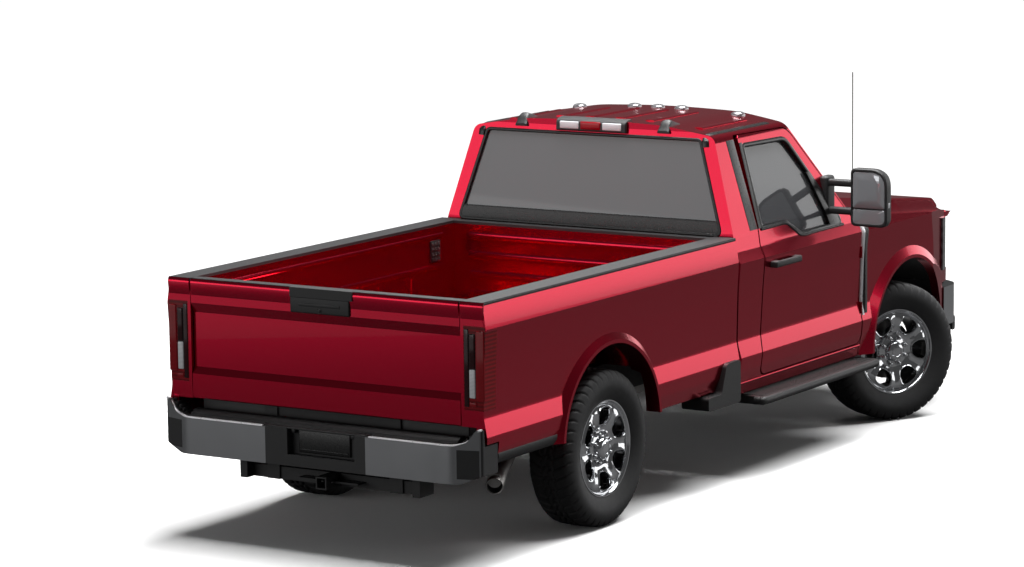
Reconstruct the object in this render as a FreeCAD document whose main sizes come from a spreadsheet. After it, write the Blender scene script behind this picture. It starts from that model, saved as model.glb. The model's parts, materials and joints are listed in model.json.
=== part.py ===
import FreeCAD, Part
import Sketcher
import math
import os

# Heavy-duty pickup truck with a regular cab and an eight-foot bed. Millimetres.
# +X points forward, +Y to the left, +Z up. The origin lies on the ground, at mid length, on the centre plane.

SIZES = (
    # alias, value, what it is
    ("length_overall", 5888, "front bumper to rear bumper"),
    ("wheelbase", 3597, "front axle to rear axle"),
    ("front_axle_x", 1974, "front axle's place along the truck"),
    ("tyre_radius", 425, "tyre and height of both axles"),
    ("tyre_width", 275, "section width"),
    ("tyre_tread_width", 222, "flat width of the tread"),
    ("tyre_shoulder", 84, "drop from tread to widest sidewall"),
    ("bead_radius", 254, "seat of the tyre on the rim"),
    ("rim_lip_radius", 264, "outer edge of the rim"),
    ("rim_width", 222, "over the lips"),
    ("rim_offset", 40, "mounting face outboard of the wheel's middle"),
    ("disc_thick", 26, "wheel disc at the mounting face"),
    ("window_inner", 118, "radius where the wheel's windows start"),
    ("window_outer", 214, "radius where the wheel's windows end"),
    ("centre_bore", 62, "wheel's centre bore"),
    ("pilot_play", 0.3, "hub pilot in the centre bore"),
    ("cap_radius", 72, "wheel's centre cap"),
    ("front_track_half", 889, "centre plane to front wheel's middle"),
    ("rear_track_half", 856, "centre plane to rear wheel's middle"),
    ("kingpin_half", 773, "centre plane to steering axis"),
    ("steer_rest", 29, "front wheels turned to the right, degrees"),
    ("steer_arm", 184, "kingpin to tie rod end"),
    ("steer_arm_width", 36, "arm's width"),
    ("tie_rod_radius", 17, "tie rod"),
    ("tie_rod_drop", 40, "tie rod above the axle's height"),
    ("body_half", 1005, "centre plane to the door skin"),
    ("sill_z", 480, "bottom of the rocker"),
    ("shelf_z", 740, "middle of the lower crease band"),
    ("shelf_step", 20, "skin's step in above the lower crease band"),
    ("shoulder_z", 1236, "lower edge of the shoulder band"),
    ("belt_z", 1395, "window sill at the door's rear"),
    ("belt_drop", 90, "window sill's step down beside the mirror"),
    ("belt_inset", 47, "skin's step in at the window sill"),
    ("roof_inset", 205, "skin's step in at the roof's drip line"),
    ("roof_edge_z", 1938, "height of the drip line"),
    ("roof_z", 2004, "roof's crown"),
    ("wall", 45, "cab's upper walls and roof"),
    ("door_depth", 112, "door and sill below the window"),
    ("cab_back_x", -190, "cab's rear wall below the window"),
    ("cab_back_lean", 70, "rear wall's lean up to the roof"),
    ("cab_corner", 90, "cab's rear corner radius"),
    ("firewall_x", 1436, "front of the cab"),
    ("cowl_z", 1345, "base of the windscreen"),
    ("screen_run", 640, "windscreen's run from cowl to header"),
    ("screen_bow", 170, "windscreen's bow in plan"),
    ("glass", 6, "glass thickness"),
    ("cab_floor_z", 760, "top of the cab's floor"),
    ("cab_floor_thick", 40, "cab's floor"),
    ("sill_wide", 170, "skin to the sills' inner face"),
    ("door_front_x", 1323, "door's front edge"),
    ("door_rear_x", 113, "door's rear edge"),
    ("door_bottom_z", 562, "door's lower edge"),
    ("door_gap", 6, "gap round the door"),
    ("hinge_radius", 3.7, "door hinge barrel"),
    ("hinge_ahead", 4, "door hinge axis ahead of the door's edge"),
    ("hinge_inset", 4, "door hinge axis inboard of the skin"),
    ("hinge_tall", 70, "door hinge barrel"),
    ("striker", 14, "door latch striker's height"),
    ("play", 0.3, "room between pieces that only rest against each other"),
    ("fender_gap", 14, "door's front edge to the fender"),
    ("door_swing_gap", 46, "room behind the window frame's top as it swings"),
    ("bed_gap", 15, "cab to bed"),
    ("tailgate_inset", 89, "rear bumper's face to the tailgate's"),
    ("tailgate_thick", 66, "tailgate"),
    ("tailgate_gap", 4, "gap beside the tailgate"),
    ("tailgate_bottom_z", 742, "tailgate's lower edge"),
    ("tailgate_pin", 11.7, "tailgate's pivot pin"),
    ("tailgate_pin_z", 762, "height of the tailgate's pivot"),
    ("rail_z", 1370, "top of the bedsides"),
    ("rail_cap", 16, "plastic cap on the rails and tailgate"),
    ("head_inset", 32, "bedsides' front end to the headboard"),
    ("bedside_depth", 155, "skin to the bedside's inner wall"),
    ("bed_floor_z", 849, "top of the bed's floor"),
    ("bed_floor_thick", 49, "floor with its ribs"),
    ("bed_rib", 12, "height of the floor's ribs"),
    ("bed_head", 60, "headboard"),
    ("wheelhouse_wide", 209, "wheelhouse's reach into the bed"),
    ("bed_skirt_z", 545, "bottom of the bedsides"),
    ("arch_radius", 495, "wheel opening"),
    ("arch_rise", 77, "rear opening's centre above the axle"),
    ("front_arch_radius", 506, "front wheel opening"),
    ("front_arch_rise", 63, "front opening's centre above the axle"),
    ("flare", 14, "wheel lip's stand-out"),
    ("flare_spread", 118, "wheel lip's width where it leaves the skin"),
    ("flare_rim", 20, "wheel lip's flat at the opening"),
    ("liner", 14, "wheel liner"),
    ("hood_inset", 205, "skin to the hood's edge"),
    ("hood_gap", 8, "gap beside and behind the hood"),
    ("hood_thick", 30, "hood"),
    ("hood_rear_x", 1470, "hood's rear edge"),
    ("hood_inset_front", 172, "front bumper's face to the hood's nose"),
    ("hood_hinge", 9.7, "hood hinge barrel"),
    ("hood_hinge_z", 1350, "height of the hood's hinge"),
    ("hood_hinge_inset", 160, "hood's edge to its hinges"),
    ("hood_rear_z", 1392, "hood's height at the cowl"),
    ("hood_front_z", 1262, "hood's height at the nose"),
    ("fender_inset", 244, "front bumper's face to the fenders"),
    ("fender_wall", 34, "fender"),
    ("fender_tuck", 75, "skin to the fender's inner edge beside the cab"),
    ("rail_half", 430, "centre plane to the frame rail's outer face"),
    ("rail_width", 80, "frame rail"),
    ("rail_height", 180, "frame rail"),
    ("rail_low_z", 520, "rail's bottom under the cab"),
    ("rail_front_z", 600, "rail's bottom over the front axle"),
    ("gearbox_radius", 118, "gearbox"),
    ("gearbox_z", 590, "gearbox's middle"),
    ("gearbox_cross", 42, "cross member under the gearbox"),
    ("shaft_radius", 42, "rear drive shaft"),
    ("front_shaft_radius", 30, "front drive shaft"),
    ("pipe_radius", 38, "exhaust pipe"),
    ("spare_x", -2215, "spare wheel's middle"),
    ("spare_z", 458, "spare wheel's middle"),
    ("rail_rear_z", 610, "rail's bottom over the rear axle"),
    ("axle_tube", 50, "axle tube's radius"),
    ("diff_radius", 140, "differential housing's radius"),
    ("diff_offset", 250, "front differential left of the centre plane"),
    ("spring_half", 538, "centre plane to the springs' middle"),
    ("leaf_width", 76, "leaf spring"),
    ("leaf_thick", 44, "leaf pack"),
    ("coil_radius", 64, "front coil's outer radius"),
    ("damper_radius", 24, "dampers"),
    ("damper_back", 140, "front axle to the rear end of the front dampers' seats"),
    ("rear_damper_z", 700, "top of the rear dampers"),
    ("bumper_side", 7, "bumpers' ends inside the body's skin"),
    ("bumper_z", 652, "rear bumper's top"),
    ("bumper_low_z", 456, "rear bumper's bottom"),
    ("bumper_end_z", 738, "top of the rear bumper's raised ends"),
    ("bumper_wrap", 106, "rear bumper's ends reach ahead of the tailgate's face"),
    ("mirror_arm", 147, "window sill's skin to the mirror head"),
    ("mirror_x", 1018, "mirror head's middle"),
    ("mirror_z", 1318, "mirror head's bottom"),
    ("mirror_tall", 345, "mirror head"),
    ("mirror_wide", 240, "mirror head"),
    ("mirror_deep", 112, "mirror head"),
    ("cargo_lamp_half", 230, "half the cargo lamp's width"),
    ("wedge_y", 476, "centre plane to the roof's rear blocks"),
    ("aerial_x", 1478, "aerial's foot"),
    ("aerial_inset", 143, "skin to the aerial"),
    ("aerial_top_z", 2172, "aerial's tip"),
    ("receiver_bore", 51, "receiver tube's square opening"),
    ("receiver_wall", 8, "receiver tube"),
    ("receiver_z", 430, "receiver's middle"),
    ("hitch_pin_radius", 8, "hole for the hitch pin"),
    ("hitch_half", 570, "centre plane to the hitch's outer ends"),
    ("chain_half", 190, "centre plane to the ends of the plate for the safety chains"),
    ("plate_y", -37, "licence plate's middle, right of the centre plane"),
    ("plate_pitch", 178, "between the licence plate's two screw holes"),
    ("plate_hole", 3.5, "licence plate's screw hole radius"),
    ("plate_hole_z", 622, "height of the licence plate's screw holes"),
)

doc = FreeCAD.newDocument("pickup_truck")


class Size:
    """A length with the spreadsheet expression that gives it, so both stay together through arithmetic."""

    def __init__(self, value, text):
        self.value = value
        self.text = text

    def __add__(self, other):
        other = size(other)
        return Size(self.value + other.value, "(%s + %s)" % (self.text, other.text))

    def __sub__(self, other):
        other = size(other)
        return Size(self.value - other.value, "(%s - %s)" % (self.text, other.text))

    def __mul__(self, other):
        other = size(other)
        return Size(self.value * other.value, "(%s * %s)" % (self.text, other.text))

    def __truediv__(self, other):
        other = size(other)
        return Size(self.value / other.value, "(%s / %s)" % (self.text, other.text))

    def __radd__(self, other):
        return size(other) + self

    def __rsub__(self, other):
        return size(other) - self

    def __rmul__(self, other):
        return size(other) * self

    def __neg__(self):
        return Size(-self.value, "(-%s)" % self.text)


def size(number):
    """A plain number as a Size."""
    if isinstance(number, Size):
        return number
    return Size(float(number), "(%s)" % repr(number))


def sine(angle):
    return Size(math.sin(math.radians(angle.value)), "sin(%s * 1 deg)" % angle.text)


def cosine(angle):
    return Size(math.cos(math.radians(angle.value)), "cos(%s * 1 deg)" % angle.text)


class Sheet:
    """The spreadsheet of driving dimensions; each alias is an attribute."""

    def __init__(self, table):
        sheet = doc.addObject("Spreadsheet::Sheet", "sizes")
        for row, (alias, value, note) in enumerate(table, start=1):
            sheet.set("A%d" % row, alias)
            sheet.set("B%d" % row, str(value))
            sheet.set("C%d" % row, note)
            sheet.setAlias("B%d" % row, alias)
            setattr(self, alias, Size(float(value), "sizes.%s" % alias))


s = Sheet(SIZES)
doc.recompute()

X_AXIS = FreeCAD.Vector(1, 0, 0)
Y_AXIS = FreeCAD.Vector(0, 1, 0)
Z_AXIS = FreeCAD.Vector(0, 0, 1)
NO_TURN = FreeCAD.Rotation()
# Each sketch plane: its rotation, its normal and the placement axis that carries its offset.
PLANES = {
    "XY": (NO_TURN, Z_AXIS, "z"),
    "XZ": (FreeCAD.Rotation(X_AXIS, 90), Y_AXIS, "y"),
    "YZ": (FreeCAD.Rotation(FreeCAD.Vector(1, 1, 1), 120), X_AXIS, "x"),
}

TYRE_SIDES = 88

nodes = []


def add(kind, label):
    shape = doc.addObject(kind, label)
    shape.Label = label
    return shape


def bind(shape, name, value):
    """Ties one property to its expression."""
    shape.setExpression(name, size(value).text)


def place(shape, x, y, z):
    for axis, value in zip("xyz", (x, y, z)):
        bind(shape, "Placement.Base.%s" % axis, value)
    return shape


def node(shape, label):
    """Names a finished sub-part; its label is its file's name."""
    shape.Label = label
    nodes.append(shape)
    return shape


def box(label, x0, x1, y0, y1, z0, z1):
    shape = add("Part::Box", label)
    bind(shape, "Length", size(x1) - x0)
    bind(shape, "Width", size(y1) - y0)
    bind(shape, "Height", size(z1) - z0)
    return place(shape, x0, y0, z0)


def cylinder(label, axis, radius, start, length, at):
    """A cylinder along X, Y or Z from start; at gives its two other coordinates in X, Y, Z order."""
    shape = add("Part::Cylinder", label)
    bind(shape, "Radius", radius)
    bind(shape, "Height", length)
    turns = {"X": (Y_AXIS, 90), "Y": (X_AXIS, -90), "Z": (Z_AXIS, 0)}
    shape.Placement = FreeCAD.Placement(FreeCAD.Vector(), FreeCAD.Rotation(*turns[axis]))
    spot = list(at)
    spot.insert("XYZ".index(axis), start)
    return place(shape, *spot)


def corner_geometry(points, index):
    """A rounded corner: where its arc meets the line before and the line after, and the arc itself."""
    here = points[index]
    before = points[index - 1]
    after = points[(index + 1) % len(points)]
    corner = FreeCAD.Vector(size(here[0]).value, size(here[1]).value, 0)
    back = FreeCAD.Vector(size(before[0]).value, size(before[1]).value, 0) - corner
    ahead = FreeCAD.Vector(size(after[0]).value, size(after[1]).value, 0) - corner
    back.normalize()
    ahead.normalize()
    half = back.getAngle(ahead) / 2
    radius = size(here[2]).value
    reach = radius / math.tan(half)
    middle = back + ahead
    middle.normalize()
    centre = corner + middle * (radius / math.sin(half))
    arrive = corner + back * reach
    depart = corner + ahead * reach
    turns_left = back.cross(ahead).z < 0
    first, last = (arrive, depart) if turns_left else (depart, arrive)
    start = math.atan2(first.y - centre.y, first.x - centre.x)
    end = math.atan2(last.y - centre.y, last.x - centre.x)
    arc = Part.ArcOfCircle(Part.Circle(centre, Z_AXIS, radius), start, end)
    return arrive, depart, arc, turns_left


def sketch(label, plane, points, offset=0):
    """A closed outline. A point is (u, v), or (u, v, radius) for a rounded corner."""
    turn, normal, axis = PLANES[plane]
    shape = add("Sketcher::SketchObject", label)
    shape.Placement = FreeCAD.Placement(FreeCAD.Vector(), turn)
    bind(shape, "Placement.Base.%s" % axis, offset)
    count = len(points)
    entry = []
    leave = []
    for index, point in enumerate(points):
        if len(point) == 3:
            arrive, depart, arc, turns_left = corner_geometry(points, index)
        else:
            arrive = FreeCAD.Vector(size(point[0]).value, size(point[1]).value, 0)
            depart = arrive
        entry.append(arrive)
        leave.append(depart)
    geometry = []
    rules = []
    bindings = []
    for index in range(count):
        geometry.append(Part.LineSegment(leave[index], entry[(index + 1) % count]))
    for index, point in enumerate(points):
        u, v = size(point[0]), size(point[1])
        line_in = (index - 1) % count
        if len(point) == 3:
            arrive, depart, curve, turns_left = corner_geometry(points, index)
            arc = len(geometry)
            geometry.append(curve)
            mark = len(geometry)
            geometry.append(Part.Point(FreeCAD.Vector(u.value, v.value, 0)))
            first, last = (1, 2) if turns_left else (2, 1)
            rules.append(Sketcher.Constraint("Tangent", line_in, 2, arc, first))
            rules.append(Sketcher.Constraint("Tangent", arc, last, index, 1))
            rules.append(Sketcher.Constraint("PointOnObject", mark, 1, line_in))
            rules.append(Sketcher.Constraint("PointOnObject", mark, 1, index))
            bindings.append((len(rules), size(point[2])))
            rules.append(Sketcher.Constraint("Radius", arc, size(point[2]).value))
            target = mark
        else:
            rules.append(Sketcher.Constraint("Coincident", line_in, 2, index, 1))
            target = index
        bindings.append((len(rules), u))
        rules.append(Sketcher.Constraint("DistanceX", target, 1, u.value))
        bindings.append((len(rules), v))
        rules.append(Sketcher.Constraint("DistanceY", target, 1, v.value))
    shape.addGeometry(geometry, False)
    for index, item in enumerate(geometry):
        if isinstance(item, Part.Point):
            shape.toggleConstruction(index)
    shape.addConstraint(rules)
    for index, value in bindings:
        if "sizes" in value.text:
            shape.setExpression("Constraints[%d]" % index, value.text)
    return shape


def prism(label, plane, points, start, end):
    """An outline pushed from one offset to another along its plane's normal."""
    turn, normal, axis = PLANES[plane]
    outline = sketch(label + "_outline", plane, points, start)
    shape = add("Part::Extrusion", label)
    shape.Base = outline
    shape.DirMode = "Custom"
    shape.Dir = normal
    bind(shape, "LengthFwd", size(end) - start)
    shape.Solid = True
    return shape


def spot_vector(point):
    return FreeCAD.Vector(*[size(value).value for value in point])


def bar(label, radius, start, end):
    """A round bar between two points."""
    way = spot_vector(end) - spot_vector(start)
    shape = add("Part::Cylinder", label)
    bind(shape, "Radius", radius)
    shape.Height = way.Length
    shape.Placement = FreeCAD.Placement(FreeCAD.Vector(), FreeCAD.Rotation(Z_AXIS, way))
    return place(shape, *start)


def pipe(label, radius, points, bend):
    """A round pipe along straight runs joined by tangent arcs."""
    spots = [spot_vector(point) for point in points]
    bend = size(bend).value
    edges = []
    here = spots[0]
    for before, corner, after in zip(spots, spots[1:], spots[2:]):
        back = (before - corner).normalize()
        ahead = (after - corner).normalize()
        half = back.getAngle(ahead) / 2
        reach = bend / math.tan(half)
        arrive = corner + back * reach
        depart = corner + ahead * reach
        inward = (back + ahead).normalize()
        middle = corner + inward * (bend / math.sin(half) - bend)
        edges.append(Part.LineSegment(here, arrive).toShape())
        edges.append(Part.Arc(arrive, middle, depart).toShape())
        here = depart
    edges.append(Part.LineSegment(here, spots[-1]).toShape())
    path = Part.Wire(edges)
    ring = Part.Wire([Part.makeCircle(size(radius).value, spots[0], spots[1] - spots[0])])
    shape = add("Part::Feature", label)
    shape.Shape = path.makePipeShell([ring], True, False)
    return shape


def revolve(label, points):
    """Points are (radius, along) pairs turned about the Y axis."""
    outline = sketch(label + "_outline", "XY", points)
    shape = add("Part::Revolution", label)
    shape.Source = outline
    shape.Axis = Y_AXIS
    shape.Base = FreeCAD.Vector()
    shape.Angle = 360
    shape.Solid = True
    return shape


def fuse(label, *shapes):
    shape = add("Part::MultiFuse", label)
    shape.Shapes = list(shapes)
    shape.Refine = True
    return shape


def common(label, *shapes):
    shape = add("Part::MultiCommon", label)
    shape.Shapes = list(shapes)
    shape.Refine = True
    return shape


def cut(label, base, *tools):
    shape = add("Part::Cut", label)
    shape.Base = base
    shape.Tool = tools[0] if len(tools) == 1 else fuse(label + "_tools", *tools)
    shape.Refine = True
    return shape


def group(label, *shapes):
    """Like pieces of one body that don't touch, kept as separate solids."""
    shape = add("Part::Compound", label)
    shape.Links = list(shapes)
    return shape


def mirrored(label, source):
    """The piece on the truck's other side."""
    shape = add("Part::Mirroring", label)
    shape.Source = source
    shape.Normal = Y_AXIS
    shape.Base = FreeCAD.Vector()
    return shape


def both(label, source):
    return group(label, source, mirrored(label + "_right", source))


front_end = s.length_overall / 2
rear_end = -s.length_overall / 2
rear_axle_x = s.front_axle_x - s.wheelbase
axle_z = s.tyre_radius
cab_floor_low = s.cab_floor_z - s.cab_floor_thick
bed_floor_low = s.bed_floor_z - s.bed_floor_thick
rail_inner = s.rail_half - s.rail_width
belt_half = s.body_half - s.belt_inset
roof_edge_half = s.body_half - s.roof_inset
hood_half = s.body_half - s.hood_inset
hood_hinge_half = hood_half - s.hood_hinge_inset
sill_inner = s.body_half - s.sill_wide
bed_inner_half = s.body_half - s.bedside_depth
tailgate_half = bed_inner_half - s.tailgate_gap
wheelhouse_half = bed_inner_half - s.wheelhouse_wide
bumper_half = s.body_half - s.bumper_side
aerial_half = s.body_half - s.aerial_inset
mirror_reach = belt_half + s.mirror_arm + s.mirror_wide
hood_front_x = front_end - s.hood_inset_front
fender_front_x = front_end - s.fender_inset
tailgate_x = rear_end + s.tailgate_inset
tailgate_inner_x = tailgate_x + s.tailgate_thick
bed_front_x = s.cab_back_x - s.bed_gap
damper_y = (s.rail_half + s.spring_half - s.leaf_width / 2) / 2
bed_inner_front = bed_front_x - s.head_inset - s.bed_head
arch_z = axle_z + s.arch_rise
front_arch_z = axle_z + s.front_arch_rise


def side_skin(inset):
    """The body side's section between rocker and shoulder: out to the lower band, in over its shelf, out again."""
    return [
        (s.body_half - 6 - inset, s.shelf_z - 120, 80),
        (s.body_half - inset, s.shelf_z - 50, 50),
        (s.body_half - s.shelf_step - inset, s.shelf_z + 60, 100),
        (s.body_half - s.shelf_step + 8 - inset, s.shoulder_z - 160, 900),
        (s.body_half - 3 - inset, s.shoulder_z),
    ]


def skin_line(inset_low, inset_high):
    """The body side's section, from the sill up to the roof's middle, moved inboard."""
    return side_skin(inset_low) + [
        (s.body_half - 34 - inset_low, s.shoulder_z + 66, 40),
        (belt_half - inset_high, s.belt_z, 300),
        (roof_edge_half - inset_high, s.roof_edge_z - inset_high, 60),
        (roof_edge_half - 330 - inset_high, s.roof_z - 16 - inset_high, 900),
    ]


def cross_section(label, inset_low, inset_high, start, end, floor):
    """The cab's full cross-section pushed along X, symmetric about the centre plane."""
    base = size(floor)
    above = [point for point in skin_line(inset_low, inset_high) if point[1].value > base.value]
    left = [(s.body_half - 40 - inset_low, base)] + above
    crown = [(size(0), s.roof_z - inset_high, 6000)]
    right = [(-point[0], *point[1:]) for point in reversed(left)]
    return prism(label, "YZ", left + crown + right, start, end)


def screen_wedge(label, inset):
    """All that lies behind the raked, bowed windscreen."""
    middle = s.firewall_x - inset
    outline = sketch(label + "_outline", "XY", [
        (s.cab_back_x * 8, -mirror_reach),
        (middle - s.screen_bow * 1.9, -mirror_reach),
        (middle - s.screen_bow * 0.22, -s.body_half * 0.52, 1500),
        (middle - s.screen_bow * 0.22, s.body_half * 0.52, 1500),
        (middle - s.screen_bow * 1.9, mirror_reach),
        (s.cab_back_x * 8, mirror_reach),
    ], s.cowl_z)
    shape = add("Part::Extrusion", label)
    shape.Base = outline
    shape.DirMode = "Custom"
    rise = s.roof_z - s.cowl_z
    run = s.screen_run.value
    shape.Dir = FreeCAD.Vector(-run, 0, rise.value)
    bind(shape, "LengthFwd", (s.screen_run * s.screen_run + rise * rise) / 600)
    shape.Solid = True
    return shape


def cab_volume(label, inset_low, inset_high, floor):
    """The cab's outer form, or the same form moved inboard."""
    section = cross_section(label + "_section", inset_low, inset_high, s.cab_back_x * 2, s.firewall_x * 2, floor)
    side = prism(label + "_side", "XZ", [
        (s.cab_back_x + inset_high, floor),
        (s.firewall_x - inset_high, floor),
        (s.firewall_x - inset_high, s.roof_z * 2),
        (s.cab_back_x + inset_high + s.cab_back_lean * 2, s.roof_z * 2),
        (s.cab_back_x + inset_high + s.cab_back_lean, s.roof_z - 45, 30),
        (s.cab_back_x + inset_high, s.belt_z - 10, 300),
    ], -mirror_reach, mirror_reach)
    plan = prism(label + "_plan", "XY", [
        (s.cab_back_x + inset_high - 20, -s.body_half + inset_low - 20, s.cab_corner),
        (s.firewall_x * 2, -s.body_half + inset_low - 20),
        (s.firewall_x * 2, s.body_half - inset_low + 20),
        (s.cab_back_x + inset_high - 20, s.body_half - inset_low + 20, s.cab_corner),
    ], floor, s.roof_z * 2)
    lower = box(label + "_lower", s.cab_back_x * 3, s.firewall_x * 2, -mirror_reach, mirror_reach,
                floor, s.cowl_z)
    ahead = fuse(label + "_ahead", lower, screen_wedge(label + "_screen", inset_high))
    return common(label, section, side, plan, ahead)


def door_outline(gap):
    """The door's edge in side view, grown by the gap; the window frame follows the windscreen pillar."""
    swing = (s.door_swing_gap - s.door_gap) * (size(gap) / s.door_gap)
    return [
        (s.door_front_x + gap, s.door_bottom_z - gap, 40),
        (s.door_front_x + gap, s.cowl_z - 62 + gap, 30),
        (s.door_front_x - 120 + gap, s.cowl_z + 22 + gap, 60),
        (s.door_front_x - 600 + gap, s.roof_edge_z - 26 + gap, 160),
        (s.door_rear_x + 24 - gap * 2 - swing, s.roof_edge_z - 16 + gap, 30),
        (s.door_rear_x - gap * 2, s.belt_z),
        (s.door_rear_x - gap * 2, s.shoulder_z - 40),
        (s.door_rear_x - 28 - gap * 2, s.shelf_z + 40, 300),
        (s.door_rear_x - 50 - gap * 2, s.door_bottom_z - gap, 60),
    ]


def window_outline(inset):
    """The door window's edge in side view; its sill steps down beside the mirror."""
    low = s.belt_z + 6 + inset
    return [
        (s.door_rear_x + 40 + inset, low, 20),
        (s.door_rear_x + 330, low, 120),
        (s.door_rear_x + 500, low - s.belt_drop, 120),
        (s.door_front_x - 190 - inset, low - s.belt_drop, 30),
        (s.door_front_x - 640 - inset, s.roof_edge_z - 82 - inset, 120),
        (s.door_rear_x + 62 + inset, s.roof_edge_z - 74 - inset, 20),
    ]


def rear_window_outline(inset):
    """Rear window in front view, wider at its base."""
    low = s.belt_z - 6 + inset
    high = s.roof_edge_z - 20 - inset
    wide = belt_half - 78 - inset
    narrow = roof_edge_half - 86 - inset
    return [(-wide, low, 30), (wide, low, 30), (narrow, high, 30), (-narrow, high, 30)]


def windscreen_outline(inset):
    """Windscreen opening in front view."""
    low = s.cowl_z + 12 + inset
    high = s.roof_edge_z - 30 - inset
    wide = belt_half - 70 - inset
    narrow = roof_edge_half - 60 - inset
    return [(-wide, low, 40), (wide, low, 40), (narrow, high, 50), (-narrow, high, 50)]


def fender_section(label, inset, start, end):
    """The fender's section beside the hood, moved inboard by the inset."""
    edge = hood_half + s.hood_gap
    low = [(edge, s.sill_z), (s.body_half - 40 - inset, s.sill_z)]
    high = [(s.body_half - 50 - inset, s.shoulder_z + 62 - inset, 60), (edge, s.cowl_z - 12 - inset)]
    return prism(label, "YZ", low + side_skin(inset) + high, start, end)


def wheel_flare(label, radius, x, z, inner):
    """A lip that rises from the skin towards the wheel opening: a cone about the wheel opening's axis."""
    shape = add("Part::Cone", label)
    bind(shape, "Radius1", radius + s.flare_spread)
    bind(shape, "Radius2", radius + s.flare_rim)
    bind(shape, "Height", s.body_half + s.flare - inner)
    shape.Placement = FreeCAD.Placement(FreeCAD.Vector(), FreeCAD.Rotation(X_AXIS, -90))
    return place(shape, x, inner, z)


def build_cab():
    outer = cab_volume("cab_outer", 0, 0, s.sill_z)
    inner = cab_volume("cab_inner", s.door_depth, s.wall, s.cab_floor_z)
    under = box("cab_under", s.cab_back_x * 2, s.firewall_x * 2, -sill_inner, sill_inner,
                s.sill_z - 10, cab_floor_low)
    opening = prism("door_opening", "XZ", door_outline(s.door_gap), roof_edge_half / 2, mirror_reach)
    openings = both("door_openings", opening)
    rear = prism("rear_window_cut", "YZ", rear_window_outline(0), s.cab_back_x * 2, s.cab_back_x * -1)
    front = prism("windscreen_cut", "YZ", windscreen_outline(0), s.firewall_x / 2, s.firewall_x * 2)
    room = fender_section("fender_room", s.fender_wall + s.play, s.door_front_x, s.firewall_x * 3)
    zone = box("fender_zone", s.door_front_x + s.door_gap, s.firewall_x * 2, s.body_half - s.fender_tuck - s.play,
               mirror_reach, 0, s.cowl_z)
    under_top = box("fender_room_low", 0, s.firewall_x * 3, 0, mirror_reach, 0,
                    s.cowl_z - s.fender_wall * 2)
    beside = both("fender_zones", cut("fender_zone_left", zone, common("fender_room_left", room, under_top)))
    hollowed = cut("cab_hollowed", outer, inner, under, openings, rear, front, beside)
    hinge_x = s.door_front_x + s.hinge_ahead
    hinge_half = s.body_half - s.hinge_inset
    fittings = []
    for index, z in enumerate((s.shelf_z, s.shoulder_z - 160)):
        barrel = cylinder("door_barrel_%d" % index, "Z", s.hinge_radius, z, s.hinge_tall, (hinge_x, hinge_half))
        strap = box("door_strap_%d" % index, hinge_x - 3, s.door_front_x + 9, hinge_half - 50, hinge_half,
                    z, z + s.hinge_tall)
        fittings.append(both("door_hinges_%d" % index, fuse("door_hinge_%d" % index, barrel, strap)))
    latch_z = s.shoulder_z - 240
    fittings.append(both("strikers", box("striker_pin", s.door_rear_x - 60, s.door_rear_x + 6,
                                         s.body_half - s.door_depth + 12, s.body_half - s.door_depth + 30,
                                         latch_z, latch_z + s.striker)))
    barrel_x = s.hood_rear_x - s.hood_hinge - s.play
    low, high = hood_hinge_half - 18, hood_hinge_half + 18
    barrel = cylinder("hood_barrel", "Y", s.hood_hinge, low, high - low, (barrel_x, s.hood_hinge_z))
    strap = box("hood_strap", s.firewall_x - 6, barrel_x, low, high, s.cowl_z - 60, s.hood_hinge_z)
    fittings.append(both("hood_hinges", fuse("hood_hinge_left", barrel, strap)))
    shell = fuse("cab_shell_whole", hollowed, *fittings)
    node(shell, "cab_shell")
    skin = cut("glass_skin", cab_volume("glass_outer", 0, s.glass * 2, s.cab_floor_z),
               cab_volume("glass_inner", s.door_depth, s.glass * 3, s.cab_floor_z))
    seen = fuse("glass_outlines",
                prism("rear_glass_cut", "YZ", rear_window_outline(s.play), s.cab_back_x * 2, s.cab_back_x * -1),
                prism("screen_glass_cut", "YZ", windscreen_outline(s.play), s.firewall_x / 2, s.firewall_x * 2))
    node(common("cab_glass", skin, seen), "cab_glass")
    return outer, inner


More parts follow.
